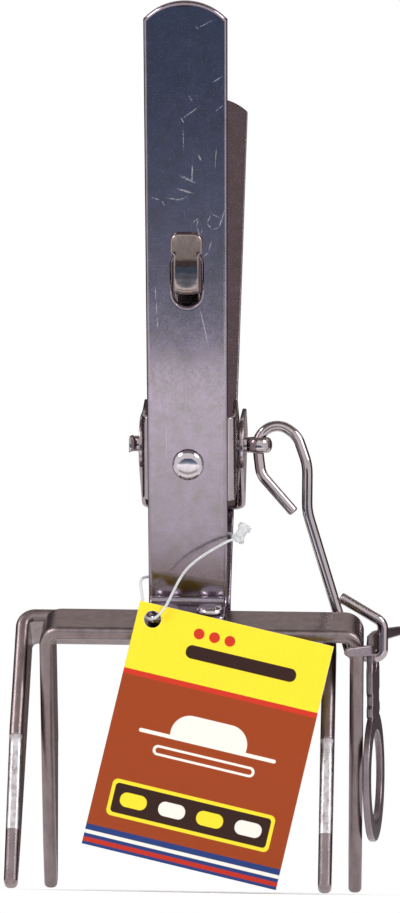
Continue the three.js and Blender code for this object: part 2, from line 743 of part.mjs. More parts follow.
// Fastener: a closed nylon strand through the tag and round the front handle, with its lock
function fastenerSolid() {
  const half = handleWidth / 2;
  const clear = strandRadius + seatGap;
  const middle = -handleOffset - handleThickness / 2;
  // Places on the strand, in clearances from the faces and edges of the handle
  const atTag = (shares) => tagAnchor.clone().add(new THREE.Vector3(...shares).multiplyScalar(clear));
  const [inHole, leaving, returning] = tagStrandShares.map(atTag);
  const beside = (x, y, along) => {
    const point = inTrap(y, -along);
    return new THREE.Vector3(x, point.x, point.y);
  };
  const points = [
    inHole,
    leaving,
    beside(0, -handleOuter - 6 * clear, (strandHigh + strandLow) / 2),
    beside(half - clear, -handleOuter - 2.4 * clear, strandHigh),
    beside(half + 2 * clear, middle, strandHigh),
    beside(half - 1.5 * clear, 2.2 * clear - handleOffset, strandHigh),
    beside(1.5 * clear - half, 2.2 * clear - handleOffset, strandLow),
    beside(-half - 2 * clear, middle, strandLow),
    beside(-half - 1.4 * clear, -handleOuter - 4 * clear, strandLow + 4 * clear),
    returning,
  ];
  const curve = new THREE.CatmullRomCurve3(points, true, "centripetal");
  const strandSteps = 64;
  const strandSides = 6;
  const line = curve.getPoints(strandSteps).slice(0, -1);
  const strand = sweep(line, roundSection(strandRadius, strandSides), new THREE.Vector3(0.3, 0.2, 1), true);
  const knot = beside(half + 2 * clear, middle, strandHigh);
  const lock = new THREE.BoxGeometry(lockWidth, lockDepth, lockHeight);
  const turn = new THREE.Matrix4()
    .makeTranslation(knot.x + lockWidth / 3, knot.y, knot.z + lockHeight / 4)
    .multiply(new THREE.Matrix4().makeRotationY(Math.PI / 6));
  return strand.add(solidOf(lock, turn));
}

// The nodes, grouped as the halves that they belong to
function halfGroup(name, bracketWidth) {
  const group = new THREE.Group();
  group.rotation.x = lean;
  group.add(meshOf(name + "_handle", handleSolid(), galvanised));
  group.add(meshOf(name + "_claw", clawSolid(), barSteel));
  group.add(meshOf(name + "_bracket", bracketSolid(bracketWidth), galvanised));
  group.add(meshOf(name + "_bracket_rivet", bracketRivetSolid(), galvanised));
  for (const place of footRivetPlaces) {
    group.add(meshOf(name + "_foot_rivet_" + place.side, footRivetSolid(place), galvanised));
  }
  return group;
}

const trap = new THREE.Group();
trap.add(halfGroup("front", innerBracketWidth));

const rearTurn = new THREE.Group();
rearTurn.rotation.z = Math.PI;
rearTurn.add(halfGroup("rear", outerBracketWidth));
trap.add(rearTurn);

const pin = meshOf("pivot_pin", pinSolid(), wireSteel);
pin.rotation.x = pinRoll;
trap.add(pin);
trap.add(meshOf("leaf_spring", springSolid(), springSteel));
trap.add(meshOf("trigger_wire", wireSolid(), wireSteel));

const plate = meshOf("trigger_plate", plateSolid(), barSteel);
plate.rotation.set(plateTilt, 0, -plateYaw, "ZYX");
plate.position.copy(plateAnchor);
trap.add(plate);

const tag = meshOf("hang_tag", tagSolid(), card);
tag.rotation.y = tagLean;
tag.position.copy(tagAnchor);
trap.add(tag);

trap.add(meshOf("tag_fastener", fastenerSolid(), nylon));

// The origin is under the middle of the whole trap, on the ground that its claw tips stand on
const model = new THREE.Group();
model.add(trap);
model.updateMatrixWorld(true);
const extent = new THREE.Box3().setFromObject(trap, true);
trap.position.set(
  -(extent.min.x + extent.max.x) / 2,
  -(extent.min.y + extent.max.y) / 2,
  -extent.min.z,
);

export default model;
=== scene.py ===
import json
import math

import bmesh
import bpy
from mathutils import Matrix, Vector
from mathutils.geometry import tessellate_polygon


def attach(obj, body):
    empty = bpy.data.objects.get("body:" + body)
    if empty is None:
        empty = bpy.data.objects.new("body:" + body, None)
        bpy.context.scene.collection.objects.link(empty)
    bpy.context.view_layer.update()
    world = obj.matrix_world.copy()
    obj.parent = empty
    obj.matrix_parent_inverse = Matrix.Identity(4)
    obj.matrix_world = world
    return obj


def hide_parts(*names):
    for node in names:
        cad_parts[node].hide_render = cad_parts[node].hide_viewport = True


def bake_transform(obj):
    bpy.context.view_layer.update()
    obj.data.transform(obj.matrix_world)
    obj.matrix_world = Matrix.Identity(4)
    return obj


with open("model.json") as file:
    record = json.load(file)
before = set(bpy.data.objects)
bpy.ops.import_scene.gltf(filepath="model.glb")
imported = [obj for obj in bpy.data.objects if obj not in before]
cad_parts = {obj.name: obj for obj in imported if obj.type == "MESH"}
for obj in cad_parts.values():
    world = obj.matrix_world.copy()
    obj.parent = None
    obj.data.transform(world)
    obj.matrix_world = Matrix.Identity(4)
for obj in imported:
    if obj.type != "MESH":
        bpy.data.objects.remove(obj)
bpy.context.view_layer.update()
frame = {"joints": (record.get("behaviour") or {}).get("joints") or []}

# The solids' own sizes, in millimetres, which the pieces here repeat
MM = 0.001
HANDLE_WIDTH = 18
HANDLE_THICKNESS = 2
HANDLE_OFFSET = 17.1
HANDLE_REACH = 107
CROWN_RADIUS = 12
FOOT_LENGTH = 10.6
FOOT_BEND_RADIUS = 1.6
FOOT_CORNER_RADIUS = 2.4
SLOT_WIDTH = 6.2
SLOT_HEIGHT = 12.8
SLOT_RISE = 38.6
SLOT_ROUNDNESS = 0.999
BAR_THICKNESS = 3
BAR_DEPTH = 12.7
BAR_DROP = 33
CLAW_REACH = 97.3
CLAW_NARROW_SIDE = 32.85
CLAW_WIDE_SIDE = 39.1
CLAW_BEND_RADIUS = 1.3
TAPER_LENGTH = 32.5
TAPER_STEP = 0.7
TAPER_RADII = (1.5, 1.3)
TIP_DEPTH = 4.5
TIP_RADIUS = 1.2
TIP_BEVEL_LENGTH = 12
TIP_BEVEL_DEPTH = 1
TIP_BEVEL_RADIUS = 20
SHEAR_DEPTH = 0.8
BRACKET_THICKNESS = 1
INNER_BRACKET_WIDTH = 20.9
BRACKET_TOP = 12.2
BRACKET_BOTTOM = 7.4
BRACKET_SHOULDER = 4.5
BRACKET_TONGUE_RADIUS = 6.5
BRACKET_BEND_RADIUS = 1.6
RIVET_SHANK_RADIUS = 1.9
BRACKET_RIVET_HEAD = (3.5, 1.7)
FOOT_RIVET_HEAD = (3, 1.5)
RIVET_TAIL = (2.9, 1)
RIVET_TAIL_RADII = (0.4, 0.2)
DOME_POWERS = (0.82, 0.95)
DOME_UNDERCUT = 0.15
FOOT_RIVET_SPACING = 10
BRACKET_RIVET_RISE = 2.1
PIN_RADIUS = 1.75
PRONG_DEPTH = 1.15
PRONG_POWER = 0.9
PIN_SLIT = 0.3
PIN_ROLL = math.radians(8)
EYE_HOLE_RADIUS = 1.85
EYE_REACH = 14.95
TAIL_REACH = 13.4
LONG_TAIL_LENGTH = 3.6
SHORT_TAIL_LENGTH = 2.2
TAIL_BEND_RADIUS = 0.5
LEAF_THICKNESS = 1
LEAF_WIDTH = 12
LEAF_NECK_WIDTH = 5.6
LEAF_HEAD_WIDTH = 7
LEAF_HEAD_HEIGHT = 4.2
LEAF_BULGE = 1.9
LEAF_CROSSING = 3.5
LEAF_BEND_RISE = 1
LEAF_HEAD_START = 4
LEAF_BEND_DROP = 3.6
LEAF_BEND_GAP = 2.6
LEAF_BEND_RADII = (12, 1.6, 1.2, 2.2)
LEAF_NECK_LENGTH = 7
LEAF_NECK_STEP = 0.4
LEAF_CORNER_RADII = (1.9, 0.5, 0.5, 2, 2)
LEAF_CUT_STEP = 0.6
LEAF_CUTS = 43
LEAF_TOP_GAP = 0.03
LEAF_HEAD_LEAN = 2.1
LEAF_DISH = 0.5
LEAF_DISH_SPREAD = 2.4
WIRE_RADIUS = 1.2
WIRE_END_ROUNDING = 0.35
HOOK_RADIUS = 4.4
HOOK_AXIS_DROP = 0.1
HOOK_LEFT_SHARE = 0.15
WIRE_SPAN = 24.2
WIRE_FALL = 46.9
WIRE_SET_BACK = 6.8
FREE_END_SHARES = (0.164, -0.32)
FREE_BEND_SHARES = (-0.147, -0.139, 0.2)
WIRE_CORNER_SHARES = (
    (0.187, 0.047, 0.22),
    (0.284, -0.092, 0.48),
    (0.284, -0.309, 0.48),
    (0.708, -1, 0.1),
    (1, -1, 0.069),
    (1, -0.836, 0.1),
    (0.6, -0.717, 0),
)
PLATE_THICKNESS = 1.5
RING_RADIUS = 14.75
RING_HOLE_RADIUS = 10.3
RING_DROP = 26.1
HOOK_HOLE_RADIUS = 2.45
NECK_HALF_WIDTH = 6.5
HEAD_HEIGHT = 6.3
HEAD_HALF_WIDTH = 5.6
HEAD_CHAMFER = 1.4
HORN_HEIGHT = 3.2
HORN_TIP_HEIGHT = 1.9
HORN_TIP_RADIUS = 0.9
HORN_REACH = 21.5
NEAR_HORN_SHARES = ((0, -0.2), (0.09, -0.87), (-0.15, -1.08))
FAR_HORN_SHARES = ((0, 0.2), (0.055, 0.6), (0.195, 0.94))
NOTCH_DEPTH = 0.9
NOTCH_RISE = 19.5
NOTCH_RADIUS = 0.4
PLATE_SPAN_SHARE = 0.91
PLATE_YAW = math.radians(6.5)
PLATE_TILT = math.radians(9.5)
TAG_WIDTH = 44
TAG_HEIGHT = 55
TAG_LEAF = 0.45
TAG_OPENING = 1.1
TAG_CURVE_SHARES = (0.45, 0.85)
TAG_CURVE_RADIUS = 60
TAG_HOLE_RADIUS = 1.9
TAG_HOLE_INSET = 3.4
FOLD_HALF_WIDTH = 0.28
FOLD_RADIUS = 0.252
FOLD_ALLOWANCE = 0.3
TAG_LEAN = math.radians(12.6)
TAG_STAND_OFF = 14.3
TAG_PLACE_SHARES = (-0.43, 0.18)
STRAND_RADIUS = 0.5
STRAND_DRAWN_SHARE = 0.62
STRAND_HIGH = 15.5
STRAND_LOW = 25.7
LOCK_WIDTH = 3.2
LOCK_HEIGHT = 4.4
LOCK_DEPTH = 2.4
LOCK_LEAN = math.radians(30)
LOCK_POWER = 0.6
LOCK_PROFILE = (
    (-1, 0.55), (-0.96, 0.8), (-0.8, 1), (-0.55, 1), (-0.42, 0.72), (0.3, 0.66), (0.45, 0.95), (0.9, 0.9),
    (1, 0.6),
)
SEAT_GAP = 0.3
SHANK_GAP = 0.3
PIN_GAP = 0.35

# Rounding of the edges and the drawn card's thickness, in millimetres, and the steps of round forms
FRONT_STRIP_EDGE = 0.8
REAR_STRIP_EDGE = 0.35
BAR_EDGE = 1.15
SHEET_EDGE = 0.3
LEAF_EDGE = 0.46
PLATE_EDGE = 0.35
CARD_LEAF = 0.3
CARD_EDGE = 0.08
EDGE_STEPS = 4
TURN_STEP = math.radians(6)
ROUND_STEPS = 72

# Places that follow from the sizes
HANDLE_OUTER = HANDLE_OFFSET + HANDLE_THICKNESS
HANDLE_MIDDLE = -HANDLE_OFFSET - HANDLE_THICKNESS / 2
FOOT_END = HANDLE_OFFSET + FOOT_LENGTH
FOOT_RIVET_Y = -(HANDLE_OUTER + FOOT_BEND_RADIUS + FOOT_END) / 2
BAR_OUTER = HANDLE_OFFSET + BAR_DEPTH
OUTER_BRACKET_WIDTH = INNER_BRACKET_WIDTH + 2 * (SEAT_GAP + BRACKET_THICKNESS)
RIVET_HOLE_RADIUS = RIVET_SHANK_RADIUS + SHANK_GAP
BRACKET_GRIP = HANDLE_THICKNESS + BRACKET_THICKNESS + 3 * SEAT_GAP
FOOT_GRIP = HANDLE_THICKNESS + BAR_THICKNESS + 3 * SEAT_GAP
STRAND_CLEARANCE = STRAND_RADIUS + SEAT_GAP
STOP_DROP = BAR_DROP + BAR_THICKNESS
LEAN = math.atan2(HANDLE_OFFSET, STOP_DROP) - math.asin(SEAT_GAP / 2 / math.hypot(HANDLE_OFFSET, STOP_DROP))
JOINTS = {joint["name"]: joint for joint in frame["joints"]}
PIVOT = Vector(JOINTS["jaw_pivot"]["pos_m"])
MIDDLE = Matrix.Translation(PIVOT) @ Matrix.Scale(MM, 4)
FRONT = MIDDLE @ Matrix.Rotation(LEAN, 4, "X")
REAR = MIDDLE @ Matrix.Rotation(math.pi, 4, "Z") @ Matrix.Rotation(LEAN, 4, "X")
HOOK_X = EYE_REACH + HOOK_RADIUS - HOOK_LEFT_SHARE * EYE_HOLE_RADIUS
HOOK_Z = -HOOK_AXIS_DROP


# Lines and outlines


def turned(vector, angle):
    c, s = math.cos(angle), math.sin(angle)
    return Vector((vector.x * c - vector.y * s, vector.x * s + vector.y * c))


def corner_arc(here, into, on, radius, step):
    """The start of the arc that rounds a corner, and the arc as (angle turned, place) pairs."""
    bend = math.atan2(into.x * on.y - into.y * on.x, into.dot(on))
    start = here - into * radius * math.tan(abs(bend) / 2)
    side = turned(into, math.copysign(math.pi / 2, bend))
    steps = max(2, math.ceil(abs(bend) / step))
    parts = [bend * k / steps for k in range(steps + 1)]
    return start, [(part, start + side * radius - turned(side, part) * radius) for part in parts]


def rounded(points, closed=True):
    """Points (a, b) or (a, b, radius) as a line whose corners are arcs."""
    out = []
    count = len(points)
    for i, point in enumerate(points):
        here = Vector(point[:2])
        radius = point[2] if len(point) > 2 else 0
        if not radius or (not closed and i in (0, count - 1)):
            out.append(here)
            continue
        into = (here - Vector(points[i - 1][:2])).normalized()
        on = (Vector(points[(i + 1) % count][:2]) - here).normalized()
        out += [place for _, place in corner_arc(here, into, on, radius, TURN_STEP)[1]]
    return out


def rectangle(left, low, right, high, radius=0):
    return rounded([(left, low, radius), (right, low, radius), (right, high, radius), (left, high, radius)])


def arc(a, b, radius, start, end):
    steps = max(2, math.ceil(abs(end - start) / TURN_STEP))
    angles = [start + (end - start) * k / steps for k in range(steps + 1)]
    return [Vector((a + radius * math.cos(t), b + radius * math.sin(t))) for t in angles]


def circle(a, b, radius):
    return arc(a, b, radius, 0, 2 * math.pi)[:-1]


def stations(corners, step=TURN_STEP):
    """Stations (length, place, direction) along a line of (a, b, radius) corners."""
    points = [Vector(corner[:2]) for corner in corners]
    direction = (points[1] - points[0]).normalized()
    place = points[0]
    length = 0.0
    out = [(length, place, direction)]
    for k in range(1, len(points) - 1):
        radius = corners[k][2]
        on = (points[k + 1] - points[k]).normalized()
        start, bent = corner_arc(points[k], direction, on, radius, step)
        length += (start - place).length
        out += [(length + radius * abs(part), at, turned(direction, part)) for part, at in bent]
        length += radius * abs(bent[-1][0])
        place = bent[-1][1]
        direction = on
    out.append((length + (points[-1] - place).length, points[-1], direction))
    return out


def along(line, s):
    """The place and direction at a length along a line of stations."""
    for k in range(1, len(line)):
        if s <= line[k][0] or k == len(line) - 1:
            low, high = line[k - 1], line[k]
            share = (s - low[0]) / max(high[0] - low[0], 1e-9)
            return low[1].lerp(high[1], share), low[2].lerp(high[2], share).normalized()
    raise ValueError("a line of stations needs two of them")


# Meshes


def inset(loop, distance):
    """A closed loop moved inwards (to the left of its direction) by a distance."""
    out = []
    for i, point in enumerate(loop):
        a = (point - loop[i - 1]).normalized()
        b = (loop[(i + 1) % len(loop)] - point).normalized()
        left = Vector((-a.y - b.y, a.x + b.x))
        left = left.normalized() if left.length > 1e-6 else Vector((-a.y, a.x))
        out.append(point + left * distance / max(left.dot(Vector((-a.y, a.x))), 0.3))
    return out


def signed_area(loop):
    return sum(loop[i - 1].x * p.y - p.x * loop[i - 1].y for i, p in enumerate(loop)) / 2


def slab(outline, holes, thickness, edge, steps=EDGE_STEPS):
    """A flat piece in (a, b) with rounded edges, its middle at height 0: a bmesh in millimetres."""
    loops = [outline if signed_area(outline) > 0 else outline[::-1]]
    loops += [hole if signed_area(hole) < 0 else hole[::-1] for hole in holes]
    turns = [math.pi / 2 * k / steps for k in range(steps + 1)]
    layers = [(thickness / 2 - edge * (1 - math.sin(t)), edge * (1 - math.cos(t))) for t in turns]
    layers = layers[::-1] + [(-height, depth) for height, depth in layers]
    mesh = bmesh.new()
    caps = [[], []]
    for loop in loops:
        loop = [p for i, p in enumerate(loop) if (p - loop[i - 1]).length > 1e-4]
        rings = [[mesh.verts.new((p.x, p.y, h)) for p in inset(loop, d)] for h, d in layers]
        for upper, lower in zip(rings, rings[1:]):
            for i in range(len(upper)):
                mesh.faces.new((upper[i - 1], lower[i - 1], lower[i], upper[i]))
        caps[0].append(rings[0])
        caps[1].append(rings[-1])
    for cap, flip in zip(caps, (False, True)):
        flat = [vert for ring in cap for vert in ring]
        for tri in tessellate_polygon([[v.co for v in ring] for ring in cap]):
            corners = [flat[i] for i in tri]
            mesh.faces.new(corners[::-1] if flip else corners)
    bmesh.ops.remove_doubles(mesh, verts=mesh.verts, dist=1e-5)
    bmesh.ops.recalc_face_normals(mesh, faces=mesh.faces)
    return mesh


def cut_at(mesh, places, axis):
    """Cuts a slab across an axis, so that it can bend there."""
    normal = Vector((axis == 0, axis == 1, 0))
    for place in places:
        geometry = mesh.verts[:] + mesh.edges[:] + mesh.faces[:]
        bmesh.ops.bisect_plane(mesh, geom=geometry, dist=1e-5, plane_co=normal * place, plane_no=normal)


def formed(mesh, line, axis=1):
    """Bends a slab along a line of stations: (across, along, height) becomes (across, a, b)."""
    cut_at(mesh, [station[0] for station in line[1:-1]], axis)
    for vert in mesh.verts:
        point, direction = along(line, vert.co[axis])
        place = point + Vector((-direction.y, direction.x)) * vert.co.z
        vert.co = (vert.co[1 - axis], place.x, place.y)
    return mesh


def with_axes(mesh, order, rise=0):
    """A mesh with its coordinates taken in another order, then lifted."""
    for vert in mesh.verts:
        vert.co = [vert.co[k] for k in order]
        vert.co.z += rise
    return mesh


def placed(mesh, matrix):
    """Moves a bmesh in millimetres to its place in the trap's frame, in metres, its faces outwards."""
    for vert in mesh.verts:
        vert.co = matrix @ vert.co
    bmesh.ops.recalc_face_normals(mesh, faces=mesh.faces)
    if mesh.calc_volume(signed=True) < 0:
        bmesh.ops.reverse_faces(mesh, faces=mesh.faces)
    return mesh


def mesh_data(name, mesh):
    data = bpy.data.meshes.new(name)
    mesh.to_mesh(data)
    mesh.free()
    return data


def joined(*meshes):
    """Several bmeshes as one."""
    whole = bmesh.new()
    for mesh in meshes:
        copy = mesh_data("part", mesh)
        whole.from_mesh(copy)
        bpy.data.meshes.remove(copy)
    return whole


def in_scene(name, data):
    made = bpy.data.objects.new(name, data)
    bpy.context.scene.collection.objects.link(made)
    return made


def even_shading(made, weight):
    """Smooth shading that keeps broad flat faces flat."""
    made.data.polygons.foreach_set("use_smooth", [True] * len(made.data.polygons))
    keep = made.modifiers.new("even shading", "WEIGHTED_NORMAL")
    keep.keep_sharp = True
    keep.weight = weight
    return made


def piece(name, mesh, material):
    made = in_scene(name, mesh_data(name, mesh))
    made.data.materials.append(material)
    return even_shading(made, 70)


def finish_piece(made, body, slot, *nodes):
    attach(made, body)
    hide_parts(*nodes)


def swept(points, section, side, closed=False, sizes=None):
    """A tube of a section (u, v) along points, mitred where the line turns; sizes scale it point by point."""
    mesh = bmesh.new()
    rings = []
    count = len(points)
    for i, point in enumerate(points):
        before = points[i - 1] if closed or i else point
        after = points[(i + 1) % count] if closed or i < count - 1 else point
        a = (point - before if (point - before).length else after - point).normalized()
        b = (after - point if (after - point).length else point - before).normalized()
        forward = (a + b).normalized()
        first = (side - forward * side.dot(forward)).normalized()
        second = forward.cross(first)
        scale = sizes[i] if sizes else 1
        rings.append([mesh.verts.new(point + (first * u + second * v) * scale) for u, v in section])
    pairs = list(zip(rings, rings[1:])) + ([(rings[-1], rings[0])] if closed else [])
    for low, high in pairs:
        for k in range(len(section)):
            mesh.faces.new((low[k - 1], low[k], high[k], high[k - 1]))
    if not closed:
        mesh.faces.new(rings[0][::-1])
        mesh.faces.new(rings[-1])
    bmesh.ops.recalc_face_normals(mesh, faces=mesh.faces)
    return mesh


def oval_section(width, height, sides, power=1):
    """A round section, or one with squarer corners where the power is less than one."""
    out = []
    for k in range(sides):
        c, s = math.cos(2 * math.pi * k / sides), math.sin(2 * math.pi * k / sides)
        out.append((math.copysign(abs(c) ** power, c) * width, math.copysign(abs(s) ** power, s) * height))
    return out


# Nodes


def linear(hex_colour):
    """An sRGB hex colour as linear red, green, blue and alpha."""
    channels = [int(hex_colour[i:i + 2], 16) / 255 for i in (1, 3, 5)]
    return [c / 12.92 if c <= 0.04045 else ((c + 0.055) / 1.055) ** 2.4 for c in channels] + [1]


def feed(node, **values):
    """Sets a node's properties and inputs; an output is linked and a hex colour made linear."""
    for key, value in values.items():
        if hasattr(node, key):
            setattr(node, key, value)
            continue
        socket = node.inputs[int(key[1:]) if key[0] == "_" else key.replace("_", " ")]
        if hasattr(value, "is_linked"):
            node.id_data.links.new(value, socket)
        else:
            socket.default_value = linear(value) if str(value)[0] == "#" else value
    return node


def add(tree, kind, **values):
    """Adds a node with its values; inputs go by name, or by number as _0."""
    return feed(tree.nodes.new(kind), **values)


def material_tree(name, **values):
    """A material with a principled shader that takes the values."""
    made = bpy.data.materials.new(name)
    made.use_nodes = True
    tree = made.node_tree
    tree.nodes.clear()
    shader = add(tree, "ShaderNodeBsdfPrincipled", **values)
    add(tree, "ShaderNodeOutputMaterial", Surface=shader.outputs[0])
    return made, tree, shader


def node_group(name, kind, output, **inputs):
    """A node group with its sockets, and the outputs of its input node."""
    tree = bpy.data.node_groups.new(name, kind)
    for key, socket in inputs.items():
        tree.interface.new_socket(key.replace("_", " "), in_out="INPUT", socket_type="NodeSocket" + socket)
    tree.interface.new_socket(output, in_out="OUTPUT", socket_type="NodeSocket" + output)
    return tree, add(tree, "NodeGroupInput").outputs


def calculated(operation, *values, clamp=False):
    """The result of a math node whose first value is an output."""
    node = add(values[0].id_data, "ShaderNodeMath", operation=operation, use_clamp=clamp)
    return feed(node, **{f"_{k}": value for k, value in enumerate(values)}).outputs[0]


def times(first, second):
    return calculated("MULTIPLY", first, second)


def larger(first, second):
    return calculated("MAXIMUM", first, second)


def weighted(base, *pairs):
    """A base value plus each output times its weight."""
    for value, weight in pairs:
        base = calculated("ADD", times(value, weight), base)
    return base


def own_axes(tree, rear=False):
    """Object coordinates turned into a half's own millimetres: across, square to the strip, along it."""
    here = add(tree, "ShaderNodeTexCoord").outputs["Object"]
    return add(
        tree, "ShaderNodeMapping", vector_type="TEXTURE", Vector=here, Location=PIVOT,
        Rotation=(LEAN, 0, math.pi if rear else 0), Scale=(MM, MM, MM),
    ).outputs[0]


def noise(vector, scale, detail=3, roughness=0.5, distortion=0):
    """Noise; its scale is repeats per unit of the vector, a millimetre on all but the raw card."""
    stretched = add(vector.id_data, "ShaderNodeMapping", Vector=vector, Scale=scale).outputs[0]
    return add(
        vector.id_data, "ShaderNodeTexNoise", Vector=stretched, Scale=1, Detail=detail, Roughness=roughness,
        Distortion=distortion,
    ).outputs["Fac"]


def ramp(factor, *stops):
    """A factor's shade from stops of (place, grey or hex colour)."""
    node = add(factor.id_data, "ShaderNodeValToRGB", Fac=factor)
    elements = node.color_ramp.elements
    while len(elements) < len(stops):
        elements.new(0.5)
    for element, (place, colour) in zip(elements, stops):
        element.position = place
        element.color = linear(colour) if isinstance(colour, str) else (colour, colour, colour, 1)
    return node.outputs["Color"]


def mixed(factor, first, second):
    node = add(factor.id_data, "ShaderNodeMix", data_type="RGBA")
    return feed(node, _0=factor, _6=first, _7=second).outputs[2]


def surfaced(shader, colour, rough, height, strength, distance):
    """Gives a shader its colour, its roughness and a relief of a distance in metres."""
    bump = add(shader.id_data, "ShaderNodeBump", Strength=strength, Distance=distance, Height=height)
    feed(shader, Base_Color=colour, Roughness=rough, Normal=bump.outputs[0])


# Materials


def scratch_mask(own, marks):
    """Marks are (x, z, x, z, width) lines in a half's own millimetres; each fades towards its ends."""
    tree = own.id_data
    total = None
    for x0, z0, x1, z1, width in marks:
        local = add(
            tree, "ShaderNodeMapping", vector_type="TEXTURE", Vector=own,
            Location=((x0 + x1) / 2, -HANDLE_OUTER, (z0 + z1) / 2),
            Rotation=(0, -math.atan2(z1 - z0, x1 - x0), 0),
            Scale=(math.hypot(x1 - x0, z1 - z0) * 0.6, HANDLE_THICKNESS, width),
        ).outputs[0]
        spot = add(tree, "ShaderNodeTexGradient", gradient_type="SPHERICAL", Vector=local).outputs["Fac"]
        total = larger(total, spot) if total else spot
    return total


# The scratches of the front handle's face: across from its middle, and along it from the pivot
HANDLE_MARKS = (
    (0.6, 86.5, 1.5, 84.9, 0.16), (3.1, 84.1, -0.9, 81.1, 0.2), (-1.1, 81.5, -0.4, 80.2, 0.22),
    (2.4, 101.1, 6.5, 103.3, 0.13), (2.2, 101.6, 2.9, 100.9, 0.16), (5.7, 89.2, 8.1, 90.8, 0.14),
    (6.2, 82.7, 8.2, 84.4, 0.14), (-0.6, 80.2, -0.5, 73.5, 0.1), (6.6, 75.4, 6.2, 69.5, 0.1),
    (2.5, 73.4, 3.4, 71.6, 0.26), (-7.8, 63.6, -5.6, 62.9, 0.14), (-5.3, 63.0, -4.7, 61.6, 0.16),
    (-4.6, 63.4, -0.6, 63.0, 0.17), (-2.4, 62.6, 0.4, 63.9, 0.14), (4.4, 57.8, 5.4, 59.9, 0.14),
    (5.4, 59.9, 7.6, 58.9, 0.14), (7.6, 58.9, 7.1, 56.9, 0.14), (7.1, 56.9, 5.6, 56.3, 0.14),
    (5.6, 56.3, 4.4, 57.8, 0.14), (7.4, 57.5, 8.3, 61.0, 0.16), (1.4, 57.9, 2.6, 59.0, 0.17),
    (2.6, 59.0, 2.2, 57.0, 0.14), (2.2, 57.0, 3.1, 54.6, 0.17), (3.1, 54.6, 3.4, 56.6, 0.13),
    (0.2, 55.2, 2.2, 55.8, 0.18), (5.4, 53.8, 4.7, 51.2, 0.16), (4.7, 51.2, 3.7, 50.2, 0.16),
    (-6.9, 43.4, -6.8, 40.4, 0.12), (-6.7, 39.6, -6.6, 37.0, 0.14), (-6.6, 36.4, -6.4, 33.6, 0.14),
    (2.8, 38.4, 4.7, 29.3, 0.16), (-4.8, 12.9, -4.7, 3.6, 0.1), (1.9, 52.9, 2.8, 50.6, 0.14),
    (1.4, 71.8, 1.2, 66.0, 0.22), (-1.6, 68.6, 2.2, 66.8, 0.36), (-2.2, 65.6, 1.8, 64.4, 0.32),
)


def plated_strip(name, rear=False, marks=(), light="#9a8d9c", dark="#8b8386"):
    """Bright zinc plate over rolled strip: a faintly clouded mirror with rolling lines and scratches."""
    made, tree, shader = material_tree(name, Metallic=1)
    own = own_axes(tree, rear)
    cloud = noise(own, (0.35, 0.35, 0.3), 5, 0.7)
    # Real rolling lines lie closer than 0.1 mm: these are drawn coarser, so that they show as a faint grain
    rolling = noise(own, (2.6, 2.6, 0.05), 3, 0.6)
    mottle = noise(own, (1.6, 1.6, 1.4), 5, 0.75)
    specks = ramp(noise(own, (3.4, 3.4, 3.4), 2, 0.8), (0.62, 0), (0.68, 1))
    hair = ramp(noise(own, (0.9, 0.9, 9), 5, 0.7, 1.5), (0.485, 0), (0.5, 1), (0.515, 0))
    patch = ramp(noise(own, (0.12, 0.12, 0.1), 2), (0.5, 0), (0.62, 1))
    wear = larger(times(times(hair, patch), 0.22), times(specks, 0.3))
    if marks:
        lines = ramp(scratch_mask(own, marks), (0.05, 0), (0.6, 1))
        broken = ramp(noise(own, (4, 4, 4), 3, 0.7), (0.4, 0.12), (0.56, 0.8))
        wear = larger(wear, times(lines, broken))
    colour = mixed(wear, mixed(ramp(cloud, (0.35, 0), (0.7, 1)), light, dark), "#d8d2da")
    rough = weighted(0.05, (rolling, 0.08), (ramp(mottle, (0.4, 0), (0.68, 1)), 0.14), (wear, 0.5))
    height = weighted(0, (rolling, 0.4), (mottle, 0.25), (wear, -0.8))
    surfaced(shader, colour, rough, height, 0.12, 0.00006)
    return made


def plated_bar(name, rear=False):
    """Zinc plate over flat bar: a soft sheen with slow clouds and a pale, torn grain on the sheared taper."""
    made, tree, shader = material_tree(name, Metallic=1)
    own = own_axes(tree, rear)
    parts = add(tree, "ShaderNodeSeparateXYZ", Vector=own).outputs
    cloud = noise(own, (0.45, 0.45, 0.2), 4, 0.65)
    grain = noise(own, (3, 3, 3), 4, 0.7)
    # The sheared face is what lies near the taper's sloped line, above the bevelled tip
    slope = (BAR_DEPTH - TAPER_STEP - TIP_DEPTH) / (TAPER_LENGTH - TAPER_STEP)
    start = BAR_OUTER - TIP_DEPTH - slope * CLAW_REACH
    across = weighted(start, (parts["Y"], 1), (parts["Z"], -slope))
    sheared = calculated("LESS_THAN", parts["Z"], TAPER_LENGTH - CLAW_REACH)
    sheared = times(sheared, calculated("GREATER_THAN", across, -SHEAR_DEPTH))
    sheared = times(sheared, calculated("GREATER_THAN", parts["Z"], TIP_BEVEL_LENGTH - CLAW_REACH))
    sheared = times(sheared, ramp(noise(own, (0.9, 0.9, 0.5), 5, 0.75), (0.42, 1), (0.68, 0.2)))
    outer_rim = calculated("LESS_THAN", parts["Y"], BAR_EDGE - BAR_OUTER)
    rim = larger(outer_rim, calculated("GREATER_THAN", parts["Y"], -HANDLE_OFFSET - BAR_EDGE))
    colour = mixed(ramp(cloud, (0.3, 0), (0.7, 1)), "#7f7174", "#968889")
    colour = mixed(ramp(grain, (0.62, 0), (0.74, 0.5)), colour, "#b9b1b6")
    colour = mixed(times(sheared, 0.85), colour, "#dcd7da")
    rough = weighted(0.13, (cloud, 0.14), (sheared, 0.16), (rim, 0.12))
    height = weighted(0, (cloud, 0.6), (grain, 0.25), (times(rim, grain), 0.9))
    surfaced(shader, colour, rough, height, 0.25, 0.00015)
    return made


